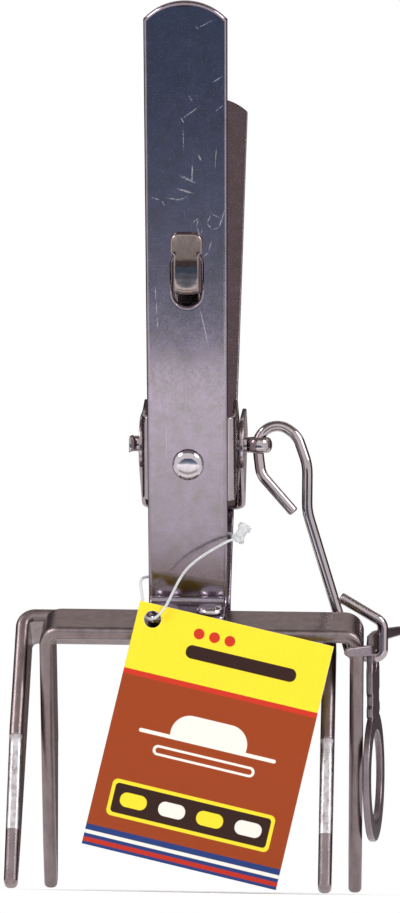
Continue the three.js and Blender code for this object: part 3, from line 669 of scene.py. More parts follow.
def bright_metal(name, light, dark, rough_low, rough_high, scale, bump_strength):
    """Plain bright steel with a faint mottle, whose scale is its repeats per millimetre."""
    made, tree, shader = material_tree(name, Metallic=1)
    mottle = noise(own_axes(tree), scale, 4, 0.6)
    colour = mixed(ramp(mottle, (0.3, 0), (0.7, 1)), light, dark)
    rough = weighted(rough_low, (mottle, rough_high - rough_low))
    surfaced(shader, colour, rough, mottle, bump_strength, 0.00008)
    return made


STRIP_FRONT = plated_strip("bright zinc plated strip, front handle", False, HANDLE_MARKS)
STRIP_REAR = plated_strip("bright zinc plated strip, rear handle", True)
SHEET_STEEL = plated_strip("bright zinc plated sheet, brackets", light="#ab9ea3", dark="#998d93")
BAR_FRONT = plated_bar("zinc plated sheared bar, front claw")
BAR_REAR = plated_bar("zinc plated sheared bar, rear claw", True)
PLATE_STEEL = bright_metal(
    "dull zinc plated sheet, trigger plate", "#978a90", "#8a7d83", 0.24, 0.42, (1.2, 1.2, 1.2), 0.2,
)
RIVET_STEEL = bright_metal("bright headed rivet steel", "#cdc5cc", "#bdb5bc", 0.1, 0.16, (1.4, 1.4, 1.4), 0.1)
WIRE_STEEL = bright_metal("bright drawn wire", "#bcb0b2", "#aba0a2", 0.06, 0.14, (0.5, 0.5, 0.1), 0.04)
SPRING_STEEL = bright_metal("polished spring steel", "#9a8d8b", "#8b7f7c", 0.1, 0.2, (1.2, 0.5, 0.5), 0.08)


# Front and rear handles: flat strip with mill-rounded edges, a crown, a slot and a bent foot


def handle_mesh(edge):
    half = HANDLE_WIDTH / 2
    seat = SEAT_GAP - BAR_DROP + HANDLE_THICKNESS / 2
    line = stations([
        (HANDLE_MIDDLE, HANDLE_REACH, 0),
        (HANDLE_MIDDLE, seat, FOOT_BEND_RADIUS + HANDLE_THICKNESS / 2),
        (-FOOT_END, seat, 0),
    ])
    end = line[-1][0]
    shoulder = math.asin(half / CROWN_RADIUS)
    foot = [(half, end, FOOT_CORNER_RADIUS), (-half, end, FOOT_CORNER_RADIUS), (-half, CROWN_RADIUS)]
    outline = rounded(foot)[:-1]
    outline += arc(0, CROWN_RADIUS, CROWN_RADIUS, -math.pi / 2 - shoulder, -math.pi / 2 + shoulder)
    top = HANDLE_REACH - SLOT_RISE - SLOT_HEIGHT
    slot_half = SLOT_WIDTH / 2
    holes = [rectangle(-slot_half, top, slot_half, top + SLOT_HEIGHT, slot_half * SLOT_ROUNDNESS)]
    holes.append(circle(0, HANDLE_REACH - BRACKET_RIVET_RISE, RIVET_HOLE_RADIUS))
    foot_middle = end - (FOOT_END - HANDLE_OUTER - FOOT_BEND_RADIUS) / 2
    for side in (-1, 1):
        holes.append(circle(side * FOOT_RIVET_SPACING / 2, foot_middle, RIVET_HOLE_RADIUS))
    return formed(slab(outline, holes, HANDLE_THICKNESS, edge), line)


# Claws: a flat bar bent into a fork, its legs sheared to a taper on one side


def claw_mesh():
    half = BAR_THICKNESS / 2
    radius = CLAW_BEND_RADIUS + half
    line = stations([
        (half - CLAW_NARROW_SIDE, -CLAW_REACH, 0),
        (half - CLAW_NARROW_SIDE, -BAR_DROP - half, radius),
        (CLAW_WIDE_SIDE - half, -BAR_DROP - half, radius),
        (CLAW_WIDE_SIDE - half, -CLAW_REACH, 0),
    ])
    end = line[-1][0]
    leg = [
        (TIP_BEVEL_LENGTH, -BAR_OUTER, TIP_BEVEL_RADIUS),
        (0, TIP_BEVEL_DEPTH - BAR_OUTER, TIP_RADIUS),
        (0, TIP_DEPTH - BAR_OUTER, TIP_RADIUS),
        (TAPER_LENGTH - TAPER_STEP, -HANDLE_OFFSET - TAPER_STEP, TAPER_RADII[0]),
        (TAPER_LENGTH, -HANDLE_OFFSET, TAPER_RADII[1]),
    ]
    other = [(end - s, y, corner) for s, y, corner in reversed(leg)]
    # A quarter bend is shorter than the corner that it rounds
    bend_saving = 2 * (radius * math.tan(math.pi / 4) - radius * math.pi / 4)
    middle = CLAW_REACH - BAR_DROP - half + CLAW_NARROW_SIDE - half - bend_saving
    places = [middle + side * FOOT_RIVET_SPACING / 2 for side in (-1, 1)]
    holes = [circle(s, FOOT_RIVET_Y, RIVET_HOLE_RADIUS) for s in places]
    mesh = slab(rounded(leg + other), holes, BAR_THICKNESS, BAR_EDGE)
    return with_axes(formed(mesh, line, axis=0), (1, 0, 2))


# Brackets: a channel whose cheeks carry the pin


def bracket_mesh(width):
    half = width / 2 - BRACKET_THICKNESS / 2
    back = SEAT_GAP - HANDLE_OFFSET + BRACKET_THICKNESS / 2
    radius = BRACKET_BEND_RADIUS + BRACKET_THICKNESS / 2
    reach = BRACKET_TONGUE_RADIUS
    line = stations([(-half, reach, 0), (-half, back, radius), (half, back, radius), (half, reach, 0)])
    end = line[-1][0]
    upper = Vector((-BRACKET_SHOULDER, BRACKET_TOP))
    lower = Vector((back + radius, -BRACKET_BOTTOM))
    start = math.atan2(lower.y, lower.x) + math.acos(reach / lower.length)
    stop = math.atan2(upper.y, upper.x) - math.acos(reach / upper.length)
    cheek = [lower] + arc(0, 0, reach, start, stop) + [upper]
    right = [Vector((end - reach + p.x, p.y)) for p in cheek]
    left = [Vector((reach - p.x, p.y)) for p in reversed(cheek)]
    holes = [circle(s, 0, PIN_RADIUS + PIN_GAP) for s in (reach, end - reach)]
    holes.append(circle(end / 2, BRACKET_RIVET_RISE, RIVET_HOLE_RADIUS))
    mesh = slab(right + left, holes, BRACKET_THICKNESS, SHEET_EDGE)
    return with_axes(formed(mesh, line, axis=0), (1, 2, 0))


# Rivets: one lathed shape, set on its places by Geometry Nodes


def lathed(profile):
    mesh = bmesh.new()
    verts = [mesh.verts.new((r, 0, z)) for r, z in profile]
    edges = [mesh.edges.new(pair) for pair in zip(verts, verts[1:])]
    bmesh.ops.spin(
        mesh, geom=verts + edges, cent=(0, 0, 0), axis=(0, 0, 1), angle=2 * math.pi, steps=ROUND_STEPS,
        use_merge=True,
    )
    bmesh.ops.remove_doubles(mesh, verts=mesh.verts, dist=1e-4)
    bmesh.ops.recalc_face_normals(mesh, faces=mesh.faces)
    return mesh


def rivet_shape(name, head, grip):
    """A rivet along Z with its head up: the dome is slightly flattened, as a snap leaves it."""
    radius, height = head
    tail_radius, tail_height = RIVET_TAIL
    foot = -grip / 2 - tail_height
    tail = rounded([
        (0, foot), (tail_radius, foot, RIVET_TAIL_RADII[0]), (tail_radius, -grip / 2, RIVET_TAIL_RADII[1]),
        (RIVET_SHANK_RADIUS, -grip / 2),
    ], closed=False)
    profile = [(p.x, p.y) for p in tail]
    profile += [(RIVET_SHANK_RADIUS, grip / 2), (radius - DOME_UNDERCUT, grip / 2)]
    steps = 16
    for k in range(steps + 1):
        t = math.pi / 2 * k / steps
        across = radius * math.cos(t) ** DOME_POWERS[0]
        profile.append((across, grip / 2 + height * math.sin(t) ** DOME_POWERS[1]))
    return bpy.data.objects.new(name, mesh_data(name, lathed(profile)))


def rivet_tree():
    """Sets a rivet on every point, its head along the point's facing attribute."""
    tree, given = node_group(
        "rivets on their places", "GeometryNodeTree", "Geometry",
        Geometry="Geometry", Rivet="Object", Scale="Float", Finish="Material",
    )
    shape = add(tree, "GeometryNodeObjectInfo", Object=given["Rivet"]).outputs["Geometry"]
    facing = add(tree, "GeometryNodeInputNamedAttribute", data_type="FLOAT_VECTOR", Name="facing")
    aim = add(tree, "FunctionNodeAlignRotationToVector", axis="Z", Vector=facing.outputs["Attribute"])
    copies = add(
        tree, "GeometryNodeInstanceOnPoints", Points=given["Geometry"], Instance=shape,
        Rotation=aim.outputs[0], Scale=given["Scale"],
    )
    real = add(tree, "GeometryNodeRealizeInstances", Geometry=copies.outputs[0]).outputs[0]
    dressed = add(tree, "GeometryNodeSetMaterial", Geometry=real, Material=given["Finish"])
    add(tree, "NodeGroupOutput", _0=dressed.outputs[0])
    return tree


def riveted(name, rivet, places, way, matrix, tree):
    """A piece of rivets at places of a half's own frame, their heads facing one way."""
    points = bpy.data.meshes.new(name + "_places")
    points.from_pydata([matrix @ Vector(place) for place in places], [], [])
    facing = points.attributes.new("facing", "FLOAT_VECTOR", "POINT")
    for point in facing.data:
        point.vector = (matrix.to_3x3() @ Vector(way)).normalized()
    made = in_scene(name, points)
    modifier = made.modifiers.new("rivets", "NODES")
    modifier.node_group = tree
    sockets = {item.name: item.identifier for item in tree.interface.items_tree if item.in_out == "INPUT"}
    modifier[sockets["Rivet"]] = rivet
    modifier[sockets["Scale"]] = MM
    modifier[sockets["Finish"]] = RIVET_STEEL
    bpy.context.view_layer.update()
    made.data = bpy.data.meshes.new_from_object(made.evaluated_get(bpy.context.evaluated_depsgraph_get()))
    made.modifiers.clear()
    made.data.materials.clear()
    made.data.materials.append(RIVET_STEEL)
    return even_shading(made, 50)


# Split pin: half-round wire folded into an eye, its tails bent over


def pin_mesh():
    middle = (PRONG_DEPTH + PIN_SLIT) / 2
    eye_radius = EYE_HOLE_RADIUS + PRONG_DEPTH / 2
    meet = math.asin(middle / eye_radius)
    bend = TAIL_BEND_RADIUS + PRONG_DEPTH / 2

    def tail(sign, length):
        return rounded([
            (EYE_REACH - eye_radius - PIN_GAP, sign * middle), (-TAIL_REACH, sign * middle, bend),
            (-TAIL_REACH, sign * (middle + bend + length)),
        ], closed=False)

    eye = arc(EYE_REACH, 0, eye_radius, math.pi - meet, meet - math.pi)
    line = tail(1, SHORT_TAIL_LENGTH)[::-1] + eye + tail(-1, LONG_TAIL_LENGTH)
    steps = 20
    half_round = []
    for k in range(steps + 1):
        t = math.pi * (1 - k / steps)
        depth = PRONG_DEPTH / 2 - PRONG_DEPTH * math.sin(t) ** PRONG_POWER
        half_round.append((PIN_RADIUS * math.cos(t), depth))
    return swept([Vector((p.x, p.y, 0)) for p in line], half_round, Vector((0, 0, 1)))


# Leaf spring: a vee of strip round the pin, its coined ends hooked over the handles


def in_trap(y, z):
    point = Matrix.Rotation(LEAN, 3, "X") @ Vector((0, y, z))
    return point.y, point.z


def spring_line():
    crossing = SLOT_RISE + LEAF_CROSSING
    slot_top = SLOT_RISE + SLOT_HEIGHT
    seated = -HANDLE_OUTER - LEAF_THICKNESS / 2 - LEAF_TOP_GAP
    places = (
        (seated - LEAF_HEAD_LEAN, slot_top - LEAF_HEAD_START),
        (-HANDLE_OUTER - LEAF_BULGE, crossing + LEAF_BEND_RISE),
        (HANDLE_MIDDLE, crossing),
        (LEAF_BEND_GAP - HANDLE_OFFSET, crossing - LEAF_BEND_DROP),
    )
    arm = [(*in_trap(seated, slot_top + LEAF_HEAD_HEIGHT), 0)]
    arm += [(*in_trap(y, z), radius) for (y, z), radius in zip(places, LEAF_BEND_RADII)]
    apex_radius = PIN_RADIUS + SEAT_GAP + LEAF_THICKNESS / 2
    inner = Vector(arm[-1][:2])
    slope = math.atan2(inner.y, inner.x) + math.acos(apex_radius / inner.length)
    touch = Vector((apex_radius * math.cos(slope), apex_radius * math.sin(slope)))
    heading = (touch - inner).normalized()
    foot = inner + heading * (-inner.x / heading.x)
    mirrored = [(-a, b, radius) for a, b, radius in reversed(arm)]
    return arm + [(foot.x, foot.y, apex_radius)] + mirrored


def spring_mesh():
    line = stations(spring_line())
    end = line[-1][0]
    head = LEAF_HEAD_HEIGHT
    neck_end = head + SLOT_HEIGHT - LEAF_CROSSING + LEAF_NECK_LENGTH
    wide = LEAF_WIDTH / 2
    neck = LEAF_NECK_WIDTH / 2
    top = LEAF_HEAD_WIDTH / 2
    places = (
        (top, 0), (top, head), (neck, head + LEAF_NECK_STEP), (neck, neck_end),
        (wide, neck_end + wide - neck),
    )
    side = [(u, s, radius) for (u, s), radius in zip(places, LEAF_CORNER_RADII)]
    right = side + [(u, end - s, radius) for u, s, radius in reversed(side)]
    left = [(-u, s, radius) for u, s, radius in reversed(right)]
    mesh = slab(rounded(right + left), [], LEAF_THICKNESS, LEAF_EDGE)
    reaches = [end / 2 - LEAF_CUT_STEP * k for k in range(1, LEAF_CUTS + 1)]
    cut_at(mesh, [end / 2 + reach * way for reach in reaches for way in (-1, 1)], 1)
    cut_at(mesh, [top * share for share in (-0.6, -0.35, -0.12, 0.12, 0.35, 0.6)], 0)
    # The coined ends are dished across, most of all where they stand off the handle
    for vert in mesh.verts:
        near = min(vert.co.y, end - vert.co.y)
        swell = math.exp(-((near - SLOT_HEIGHT) / LEAF_DISH_SPREAD) ** 2)
        vert.co.z -= LEAF_DISH * swell * max(1 - (vert.co.x / neck) ** 2, 0)
    return formed(mesh, line)


# Trigger wire: hooked through the pin's eye, its lower end bent up under the plate


def wire_points():
    centre = Vector((HOOK_X, HOOK_Z))

    def at(x, z):
        return centre + Vector((x * WIRE_SPAN, z * WIRE_FALL))

    def tangent(point, sign):
        away = point - centre
        return (math.atan2(away.y, away.x) + sign * math.acos(HOOK_RADIUS / away.length)) % (2 * math.pi)

    bend = at(*FREE_BEND_SHARES[:2])
    corners = [(*at(x, z), radius * WIRE_SPAN) for x, z, radius in WIRE_CORNER_SHARES]
    hook = arc(HOOK_X, HOOK_Z, HOOK_RADIUS, tangent(bend, -1), tangent(Vector(corners[0][:2]), 1))
    free = [at(*FREE_END_SHARES), (*bend, FREE_BEND_SHARES[2] * WIRE_SPAN), hook[0]]
    free = rounded(free, closed=False)[:-1]
    rest = rounded([hook[-1]] + corners, closed=False)[1:]
    top = HOOK_Z - HOOK_RADIUS
    bottom = HOOK_Z - WIRE_FALL
    out = [Vector((point.x, 0, point.y)) for point in free + hook]
    for point in rest:
        share = min(max((top - point.y) / (top - bottom), 0), 1)
        out.append(Vector((point.x, WIRE_SET_BACK * share, point.y)))
    return out


def wire_mesh():
    """The wire, its two end rims rounded by a share of its radius."""
    points = wire_points()
    sizes = [1.0] * len(points)
    edge = WIRE_END_ROUNDING
    steps = 3
    lengths = [edge * (1 - math.sin(math.pi / 2 * k / steps)) for k in range(steps)]
    shares = [1 - edge * (1 - math.sqrt(1 - (1 - length / edge) ** 2)) for length in lengths]
    for _ in range(2):
        points = points[::-1]
        sizes = sizes[::-1]
        tip = points[-1]
        back = (points[-2] - tip).normalized()
        points = points[:-1] + [tip + back * length * WIRE_RADIUS for length in lengths]
        sizes = sizes[:-1] + shares
    return swept(points, oval_section(WIRE_RADIUS, WIRE_RADIUS, 24), Vector((0, 1, 0)), sizes=sizes)


# Trigger plate: a ring on a notched neck, with a crosspiece whose ends are bent


def plate_outline():
    waist = NECK_HALF_WIDTH - NOTCH_DEPTH
    meet = math.acos(waist / RING_RADIUS)
    side = [
        (HEAD_HALF_WIDTH - HEAD_CHAMFER, HEAD_HEIGHT),
        (HEAD_HALF_WIDTH, HEAD_HEIGHT - HEAD_CHAMFER),
        (HEAD_HALF_WIDTH, 0, 2),
        (NECK_HALF_WIDTH, HEAD_HALF_WIDTH - NECK_HALF_WIDTH - NOTCH_DEPTH, 1),
    ]
    for inwards, drop in ((0, 0), (1, 1), (1, 3), (0, 4), (0, 6)):
        height = NOTCH_RISE - RING_DROP - drop * NOTCH_DEPTH
        side.append((NECK_HALF_WIDTH - inwards * NOTCH_DEPTH, height, NOTCH_RADIUS))
    side.append((waist, -RING_DROP + RING_RADIUS * math.sin(meet)))
    right = rounded(side, closed=False)
    left = [Vector((-p.x, p.y)) for p in reversed(right)]
    return right + arc(0, -RING_DROP, RING_RADIUS, meet, -math.pi - meet)[1:-1] + left


def horn_mesh(shares):
    line = stations([(x * HORN_REACH, y * HORN_REACH, HORN_HEIGHT / 2) for x, y in shares])
    end = line[-1][0]
    low = (HORN_HEIGHT - HORN_TIP_HEIGHT) / 2
    outline = rounded([
        (0, 0), (0, HORN_HEIGHT), (end, HORN_HEIGHT - low, HORN_TIP_RADIUS), (end, low, HORN_TIP_RADIUS),
    ])
    mesh = formed(slab(outline, [], PLATE_THICKNESS, PLATE_EDGE), line, axis=0)
    return with_axes(mesh, (1, 2, 0), HEAD_HEIGHT - HORN_HEIGHT)


def plate_mesh():
    holes = [circle(0, -RING_DROP, RING_HOLE_RADIUS), circle(0, 0, HOOK_HOLE_RADIUS)]
    body = with_axes(slab(plate_outline(), holes, PLATE_THICKNESS, PLATE_EDGE), (2, 0, 1))
    return joined(body, horn_mesh(NEAR_HORN_SHARES), horn_mesh(FAR_HORN_SHARES))


def plate_place():
    anchor = Vector((
        HOOK_X + PLATE_SPAN_SHARE * WIRE_SPAN,
        WIRE_SET_BACK,
        HOOK_Z - WIRE_FALL + WIRE_RADIUS + SEAT_GAP - HOOK_HOLE_RADIUS,
    ))
    turn = Matrix.Rotation(-PLATE_YAW, 4, "Z") @ Matrix.Rotation(PLATE_TILT, 4, "X")
    return MIDDLE @ Matrix.Translation(anchor) @ turn


# Tag: a folded card, printed outside


def tag_anchor():
    return Vector((
        TAG_PLACE_SHARES[0] * HANDLE_WIDTH,
        -TAG_STAND_OFF,
        TAG_PLACE_SHARES[1] * BAR_DEPTH - BAR_DROP * math.cos(LEAN) - BAR_OUTER * math.sin(LEAN),
    ))


def tag_line():
    """The card seen from above, from the front leaf's open end round the fold to the back leaf's."""
    left = -TAG_HOLE_INSET
    open_half = TAG_LEAF / 2 + TAG_OPENING / 2
    along_share, open_share = TAG_CURVE_SHARES
    back = [
        (left + CARD_LEAF / 2, FOLD_HALF_WIDTH, FOLD_RADIUS),
        (left + TAG_WIDTH * along_share, open_half * open_share, TAG_CURVE_RADIUS),
        (TAG_WIDTH - TAG_HOLE_INSET, open_half, 0),
    ]
    front = [(x, -y, radius) for x, y, radius in reversed(back)]
    return stations(front + back, step=math.radians(15))


def tag_mesh():
    line = tag_line()
    end = line[-1][0]
    low = TAG_HOLE_INSET - TAG_HEIGHT
    half = end / 2
    hole = half - TAG_HOLE_INSET - FOLD_ALLOWANCE
    holes = [circle(hole, 0, TAG_HOLE_RADIUS), circle(end - hole, 0, TAG_HOLE_RADIUS)]
    mesh = slab(rectangle(0, low, end, TAG_HOLE_INSET), holes, CARD_LEAF, CARD_EDGE, steps=2)
    cut_at(mesh, [end * k / 60 for k in range(1, 60)], 0)
    mesh.normal_update()
    layer = mesh.loops.layers.uv.new("card")
    for face in mesh.faces:
        face.material_index = 0 if face.normal.z > 0.5 else 1
        for corner in face.loops:
            s, t, _ = corner.vert.co
            corner[layer].uv = (abs(half - s) / TAG_WIDTH, (t - low) / TAG_HEIGHT)
    return with_axes(formed(mesh, line, axis=0), (1, 2, 0))


# The tag's plain design: x and y from the lower fold corner, half width, half height and corner radius, in mm
YELLOW = "#f7dd2c"
RED = "#cc3018"
DARK = "#2e130b"
CREAM = "#f4ece2"
RUST = "#983c0c"
TAG_PANELS = [
    ("head", 22, 49, 24, 10.2, 0, YELLOW),
    ("head rule", 22, 39.3, 24, 0.6, 0, RED),
    ("head bar", 25, 46.6, 12.5, 1.5, 1.4, DARK),
    ("mound", 22, 28.5, 8.6, 4.4, 4.3, CREAM),
    ("ground", 22, 23.5, 14, 3.6, 0, RUST),
    ("ground rule", 22, 27.3, 15.5, 0.42, 0.4, CREAM),
    ("tunnel", 22, 23.8, 11.5, 1.15, 1.1, CREAM),
    ("tunnel inside", 22, 23.8, 10.9, 0.62, 0.6, RUST),
    ("band", 22, 11.6, 18.4, 4.1, 1.2, YELLOW),
    ("band dark", 22, 11.6, 17.6, 3.3, 0.8, DARK),
    ("foot", 22, 2.2, 24, 2.4, 0, "#1f3876"),
    ("foot rule", 22, 2.9, 24, 0.4, 0, CREAM),
    ("foot line", 22, 1.2, 24, 0.5, 0, "#bd2a16"),
]
TAG_PANELS += [("head dot", x, 50.8, 1.2, 1.2, 1.2, RED) for x in (14.5, 18, 21.5)]
for x, ink in ((9, YELLOW), (17.7, CREAM), (26.3, YELLOW), (35, CREAM)):
    TAG_PANELS.append(("lozenge", x, 11.6, 3, 1.6, 1.5, ink))


def panel_tree():
    """Blends a colour over another inside a round-cornered rectangle."""
    tree, given = node_group(
        "printed panel", "ShaderNodeTree", "Color",
        Place="Vector", Centre="Vector", Half_size="Vector", Corner="Float", Under="Color", Ink="Color",
    )

    def vector(operation, first, second=(0, 0, 0)):
        return add(tree, "ShaderNodeVectorMath", operation=operation, _0=first, _1=second).outputs[0]

    away = vector("ABSOLUTE", vector("SUBTRACT", given["Place"], given["Centre"]))
    corner = add(tree, "ShaderNodeCombineXYZ", X=given["Corner"], Y=given["Corner"]).outputs[0]
    past = vector("MAXIMUM", vector("ADD", vector("SUBTRACT", away, given["Half size"]), corner))
    reach = add(tree, "ShaderNodeVectorMath", operation="LENGTH", _0=past).outputs["Value"]
    inside = calculated("MULTIPLY_ADD", calculated("SUBTRACT", reach, given["Corner"]), -9, 0.5, clamp=True)
    add(tree, "NodeGroupOutput", _0=mixed(inside, given["Under"], given["Ink"]))
    return tree


def printed_card():
    """Varnished litho print on folding boxboard: flat inks, a soft gloss and a slight board grain."""
    made, tree, shader = material_tree("printed varnished card", Specular_IOR_Level=0.25)
    card = add(tree, "ShaderNodeUVMap", uv_map="card").outputs[0]
    place = add(tree, "ShaderNodeMapping", Scale=(TAG_WIDTH, TAG_HEIGHT, 0), Vector=card).outputs[0]
    group = panel_tree()
    colour = RUST
    for label, x, y, half_width, half_height, corner, ink in TAG_PANELS:
        colour = add(
            tree, "ShaderNodeGroup", node_tree=group, label=label, Place=place, Centre=(x, y, 0),
            Half_size=(half_width, half_height, 0), Corner=max(corner, 0.1), Under=colour, Ink=ink,
        ).outputs[0]
    board = noise(place, (2.2, 2.2, 1), 4, 0.7)
    surfaced(shader, mixed(ramp(board, (0.3, 0), (0.7, 0.1)), colour, "#20100a"), 0.36, board, 0.08, 0.0001)
    return made


def raw_card():
    """The unprinted inside and the cut edges of the board: off-white and matt."""
    made, tree, shader = material_tree("raw boxboard", Roughness=0.8)
    fibres = noise(add(tree, "ShaderNodeUVMap", uv_map="card").outputs[0], (90, 60, 1), 5, 0.7)
    feed(shader, Base_Color=mixed(ramp(fibres, (0.3, 0), (0.75, 1)), "#efe9dd", "#d8cfc0"))
    return made


# Fastener: a nylon strand through the tag and round the handle, with its moulded lock


def strand_points():
    half = HANDLE_WIDTH / 2
    clear = STRAND_CLEARANCE
    inner = 2.2 * clear - HANDLE_OFFSET

    def at_tag(x, y, z):
        return tag_anchor() + Vector((x, y, z)) * clear

    def beside(x, y, drop):
        return Vector((x, *in_trap(y, -drop)))

    return [
        at_tag(0, 0, 0),
        at_tag(3, -2, 2),
        beside(0, -HANDLE_OUTER - 6 * clear, (STRAND_HIGH + STRAND_LOW) / 2),
        beside(half - clear, -HANDLE_OUTER - 2.4 * clear, STRAND_HIGH),
        beside(half + 2 * clear, HANDLE_MIDDLE, STRAND_HIGH),
        beside(half - 1.5 * clear, inner, STRAND_HIGH),
        beside(1.5 * clear - half, inner, STRAND_LOW),
        beside(-half - 2 * clear, HANDLE_MIDDLE, STRAND_LOW),
        beside(-half - 1.4 * clear, -HANDLE_OUTER - 4 * clear, STRAND_LOW + 4 * clear),
        at_tag(-2.4, 2.2, 1.4),
    ]


def smooth_loop(points, per_span=14):
    """A closed centripetal Catmull-Rom curve through points."""
    out = []
    for i in range(len(points)):
        near = [points[(i + k - 1) % len(points)] for k in range(4)]
        t = [0]
        for a, b in zip(near, near[1:]):
            t.append(t[-1] + math.sqrt((b - a).length))
        for step in range(per_span):
            x = t[1] + (t[2] - t[1]) * step / per_span
            first = [near[k].lerp(near[k + 1], (x - t[k]) / (t[k + 1] - t[k])) for k in range(3)]
            second = [first[k].lerp(first[k + 1], (x - t[k]) / (t[k + 2] - t[k])) for k in range(2)]
            out.append(second[0].lerp(second[1], (x - t[1]) / (t[2] - t[1])))
    return out


def lock_mesh():
    """The lock: a small moulded barrel, waisted, with a flange at each end."""
    knot = Vector((HANDLE_WIDTH / 2 + 2 * STRAND_CLEARANCE, *in_trap(HANDLE_MIDDLE, -STRAND_HIGH)))
    knot += Vector((LOCK_WIDTH / 3, 0, LOCK_HEIGHT / 4))
    axis = Matrix.Rotation(LOCK_LEAN, 3, "Y") @ Vector((0, 0, 1))
    points = [knot + axis * (LOCK_HEIGHT / 2 * place) for place, _ in LOCK_PROFILE]
    section = oval_section(LOCK_DEPTH / 2, LOCK_WIDTH / 2, 24, LOCK_POWER)
    return swept(points, section, Vector((0, 1, 0)), sizes=[size for _, size in LOCK_PROFILE])


def fastener_mesh():
    radius = STRAND_RADIUS * STRAND_DRAWN_SHARE
    section = oval_section(radius, radius, 12)
    strand = swept(smooth_loop(strand_points()), section, Vector((0.3, 0.2, 1)), closed=True)
    return joined(strand, lock_mesh())


def clear_nylon():
    """Unfilled nylon: milky, half clear and slightly glossy."""
    made, tree, shader = material_tree(
        "natural nylon", Roughness=0.28, IOR=1.53, Transmission_Weight=0.45, Subsurface_Weight=0.2,
        Subsurface_Radius=(0.002, 0.002, 0.002),
    )
    feed(shader, Base_Color=mixed(noise(own_axes(tree), (0.6, 0.6, 0.6)), "#e2e4e6", "#f3f4f5"))
    return made


# The pieces in their places

for side, matrix, strip, edge, bar, width in (
    ("front", FRONT, STRIP_FRONT, FRONT_STRIP_EDGE, BAR_FRONT, INNER_BRACKET_WIDTH),
    ("rear", REAR, STRIP_REAR, REAR_STRIP_EDGE, BAR_REAR, OUTER_BRACKET_WIDTH),
):
    body = side + "_half"
    handle = piece(side + "_handle_strip", placed(handle_mesh(edge), matrix), strip)
    finish_piece(handle, body, "galvanised_strip", side + "_handle")
    claw = piece(side + "_claw_bar", placed(claw_mesh(), matrix), bar)
    finish_piece(claw, body, "claw_bar", side + "_claw")
    bracket = piece(side + "_bracket_sheet", placed(bracket_mesh(width), matrix), SHEET_STEEL)
    finish_piece(bracket, body, "galvanised_strip", side + "_bracket")

RIVETS = rivet_tree()
BRACKET_RIVET = rivet_shape("bracket_rivet_shape", BRACKET_RIVET_HEAD, BRACKET_GRIP)
FOOT_RIVET = rivet_shape("foot_rivet_shape", FOOT_RIVET_HEAD, FOOT_GRIP)
for side, matrix in (("front", FRONT), ("rear", REAR)):
    places = [(0, -HANDLE_OUTER - SEAT_GAP + BRACKET_GRIP / 2, BRACKET_RIVET_RISE)]
    rivet = riveted(side + "_bracket_rivet_head", BRACKET_RIVET, places, (0, -1, 0), matrix, RIVETS)
    finish_piece(rivet, side + "_half", "zinc_rivet", side + "_bracket_rivet")
    level = -BAR_DROP + 2 * SEAT_GAP + HANDLE_THICKNESS - FOOT_GRIP / 2
    places = [(sign * FOOT_RIVET_SPACING / 2, FOOT_RIVET_Y, level) for sign in (-1, 1)]
    rivets = riveted(side + "_foot_rivet_pair", FOOT_RIVET, places, (0, 0, 1), matrix, RIVETS)
    finish_piece(rivets, side + "_half", "zinc_rivet", side + "_foot_rivet_left", side + "_foot_rivet_right")

pin = piece("split_pin", placed(pin_mesh(), MIDDLE @ Matrix.Rotation(PIN_ROLL, 4, "X")), WIRE_STEEL)
finish_piece(pin, "front_half", "bright_wire", "pivot_pin")

wire = piece("bent_trigger_wire", placed(wire_mesh(), MIDDLE), WIRE_STEEL)
finish_piece(wire, "trigger_wire", "bright_wire", "trigger_wire")

plate = piece("ring_trigger_plate", placed(plate_mesh(), plate_place()), PLATE_STEEL)
finish_piece(plate, "trigger_plate", "galvanised_strip", "trigger_plate")

tag_matrix = MIDDLE @ Matrix.Translation(tag_anchor()) @ Matrix.Rotation(TAG_LEAN, 4, "Y")
tag = piece("folded_card_tag", placed(tag_mesh(), tag_matrix), printed_card())
tag.data.materials.append(raw_card())
finish_piece(tag, "hang_tag", "tag_card", "hang_tag")

fastener = piece("nylon_tag_fastener", placed(fastener_mesh(), MIDDLE), clear_nylon())
finish_piece(fastener, "front_half", "clear_nylon", "tag_fastener")

spring = piece("vee_leaf_spring", placed(spring_mesh(), MIDDLE), SPRING_STEEL)
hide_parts("leaf_spring")
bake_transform(spring)

# Camera: a long lens level with the ground
VIEW_DISTANCE = 1.0
VIEW_YAW = math.radians(2.737)
VIEW_RISE = math.radians(-5.114)
VIEW_ROLL = math.radians(-0.912)
VIEW_TARGET = PIVOT + Vector((0.00174, 0, -0.00277))
FRAME_HEIGHT = 913
FOCAL_PIXELS = 4446


def make_camera():
    data = bpy.data.cameras.new("camera")
    data.sensor_fit = "VERTICAL"
    data.lens = FOCAL_PIXELS / FRAME_HEIGHT * data.sensor_height
    data.clip_end = 20
    made = in_scene("camera", data)
    level = math.cos(VIEW_RISE)
    way = Vector((math.sin(VIEW_YAW) * level, -math.cos(VIEW_YAW) * level, math.sin(VIEW_RISE)))
    right = way.cross(Vector((0, 0, 1))).normalized() * -1
    up = way.cross(right)
    roll_right = right * math.cos(VIEW_ROLL) - up * math.sin(VIEW_ROLL)
    roll_up = right * math.sin(VIEW_ROLL) + up * math.cos(VIEW_ROLL)
    turn = Matrix((roll_right, roll_up, way)).transposed().to_4x4()
    made.matrix_world = Matrix.Translation(VIEW_TARGET + way * VIEW_DISTANCE) @ turn
    bpy.context.scene.camera = made


make_camera()

# Studio: a pale floor, a white surround, softboxes and glowing cards, seen only in the bright metal, that
# paint reflections into it


def flat_square(half):
    mesh = bmesh.new()
    bmesh.ops.create_grid(mesh, x_segments=1, y_segments=1, size=half)
    return mesh


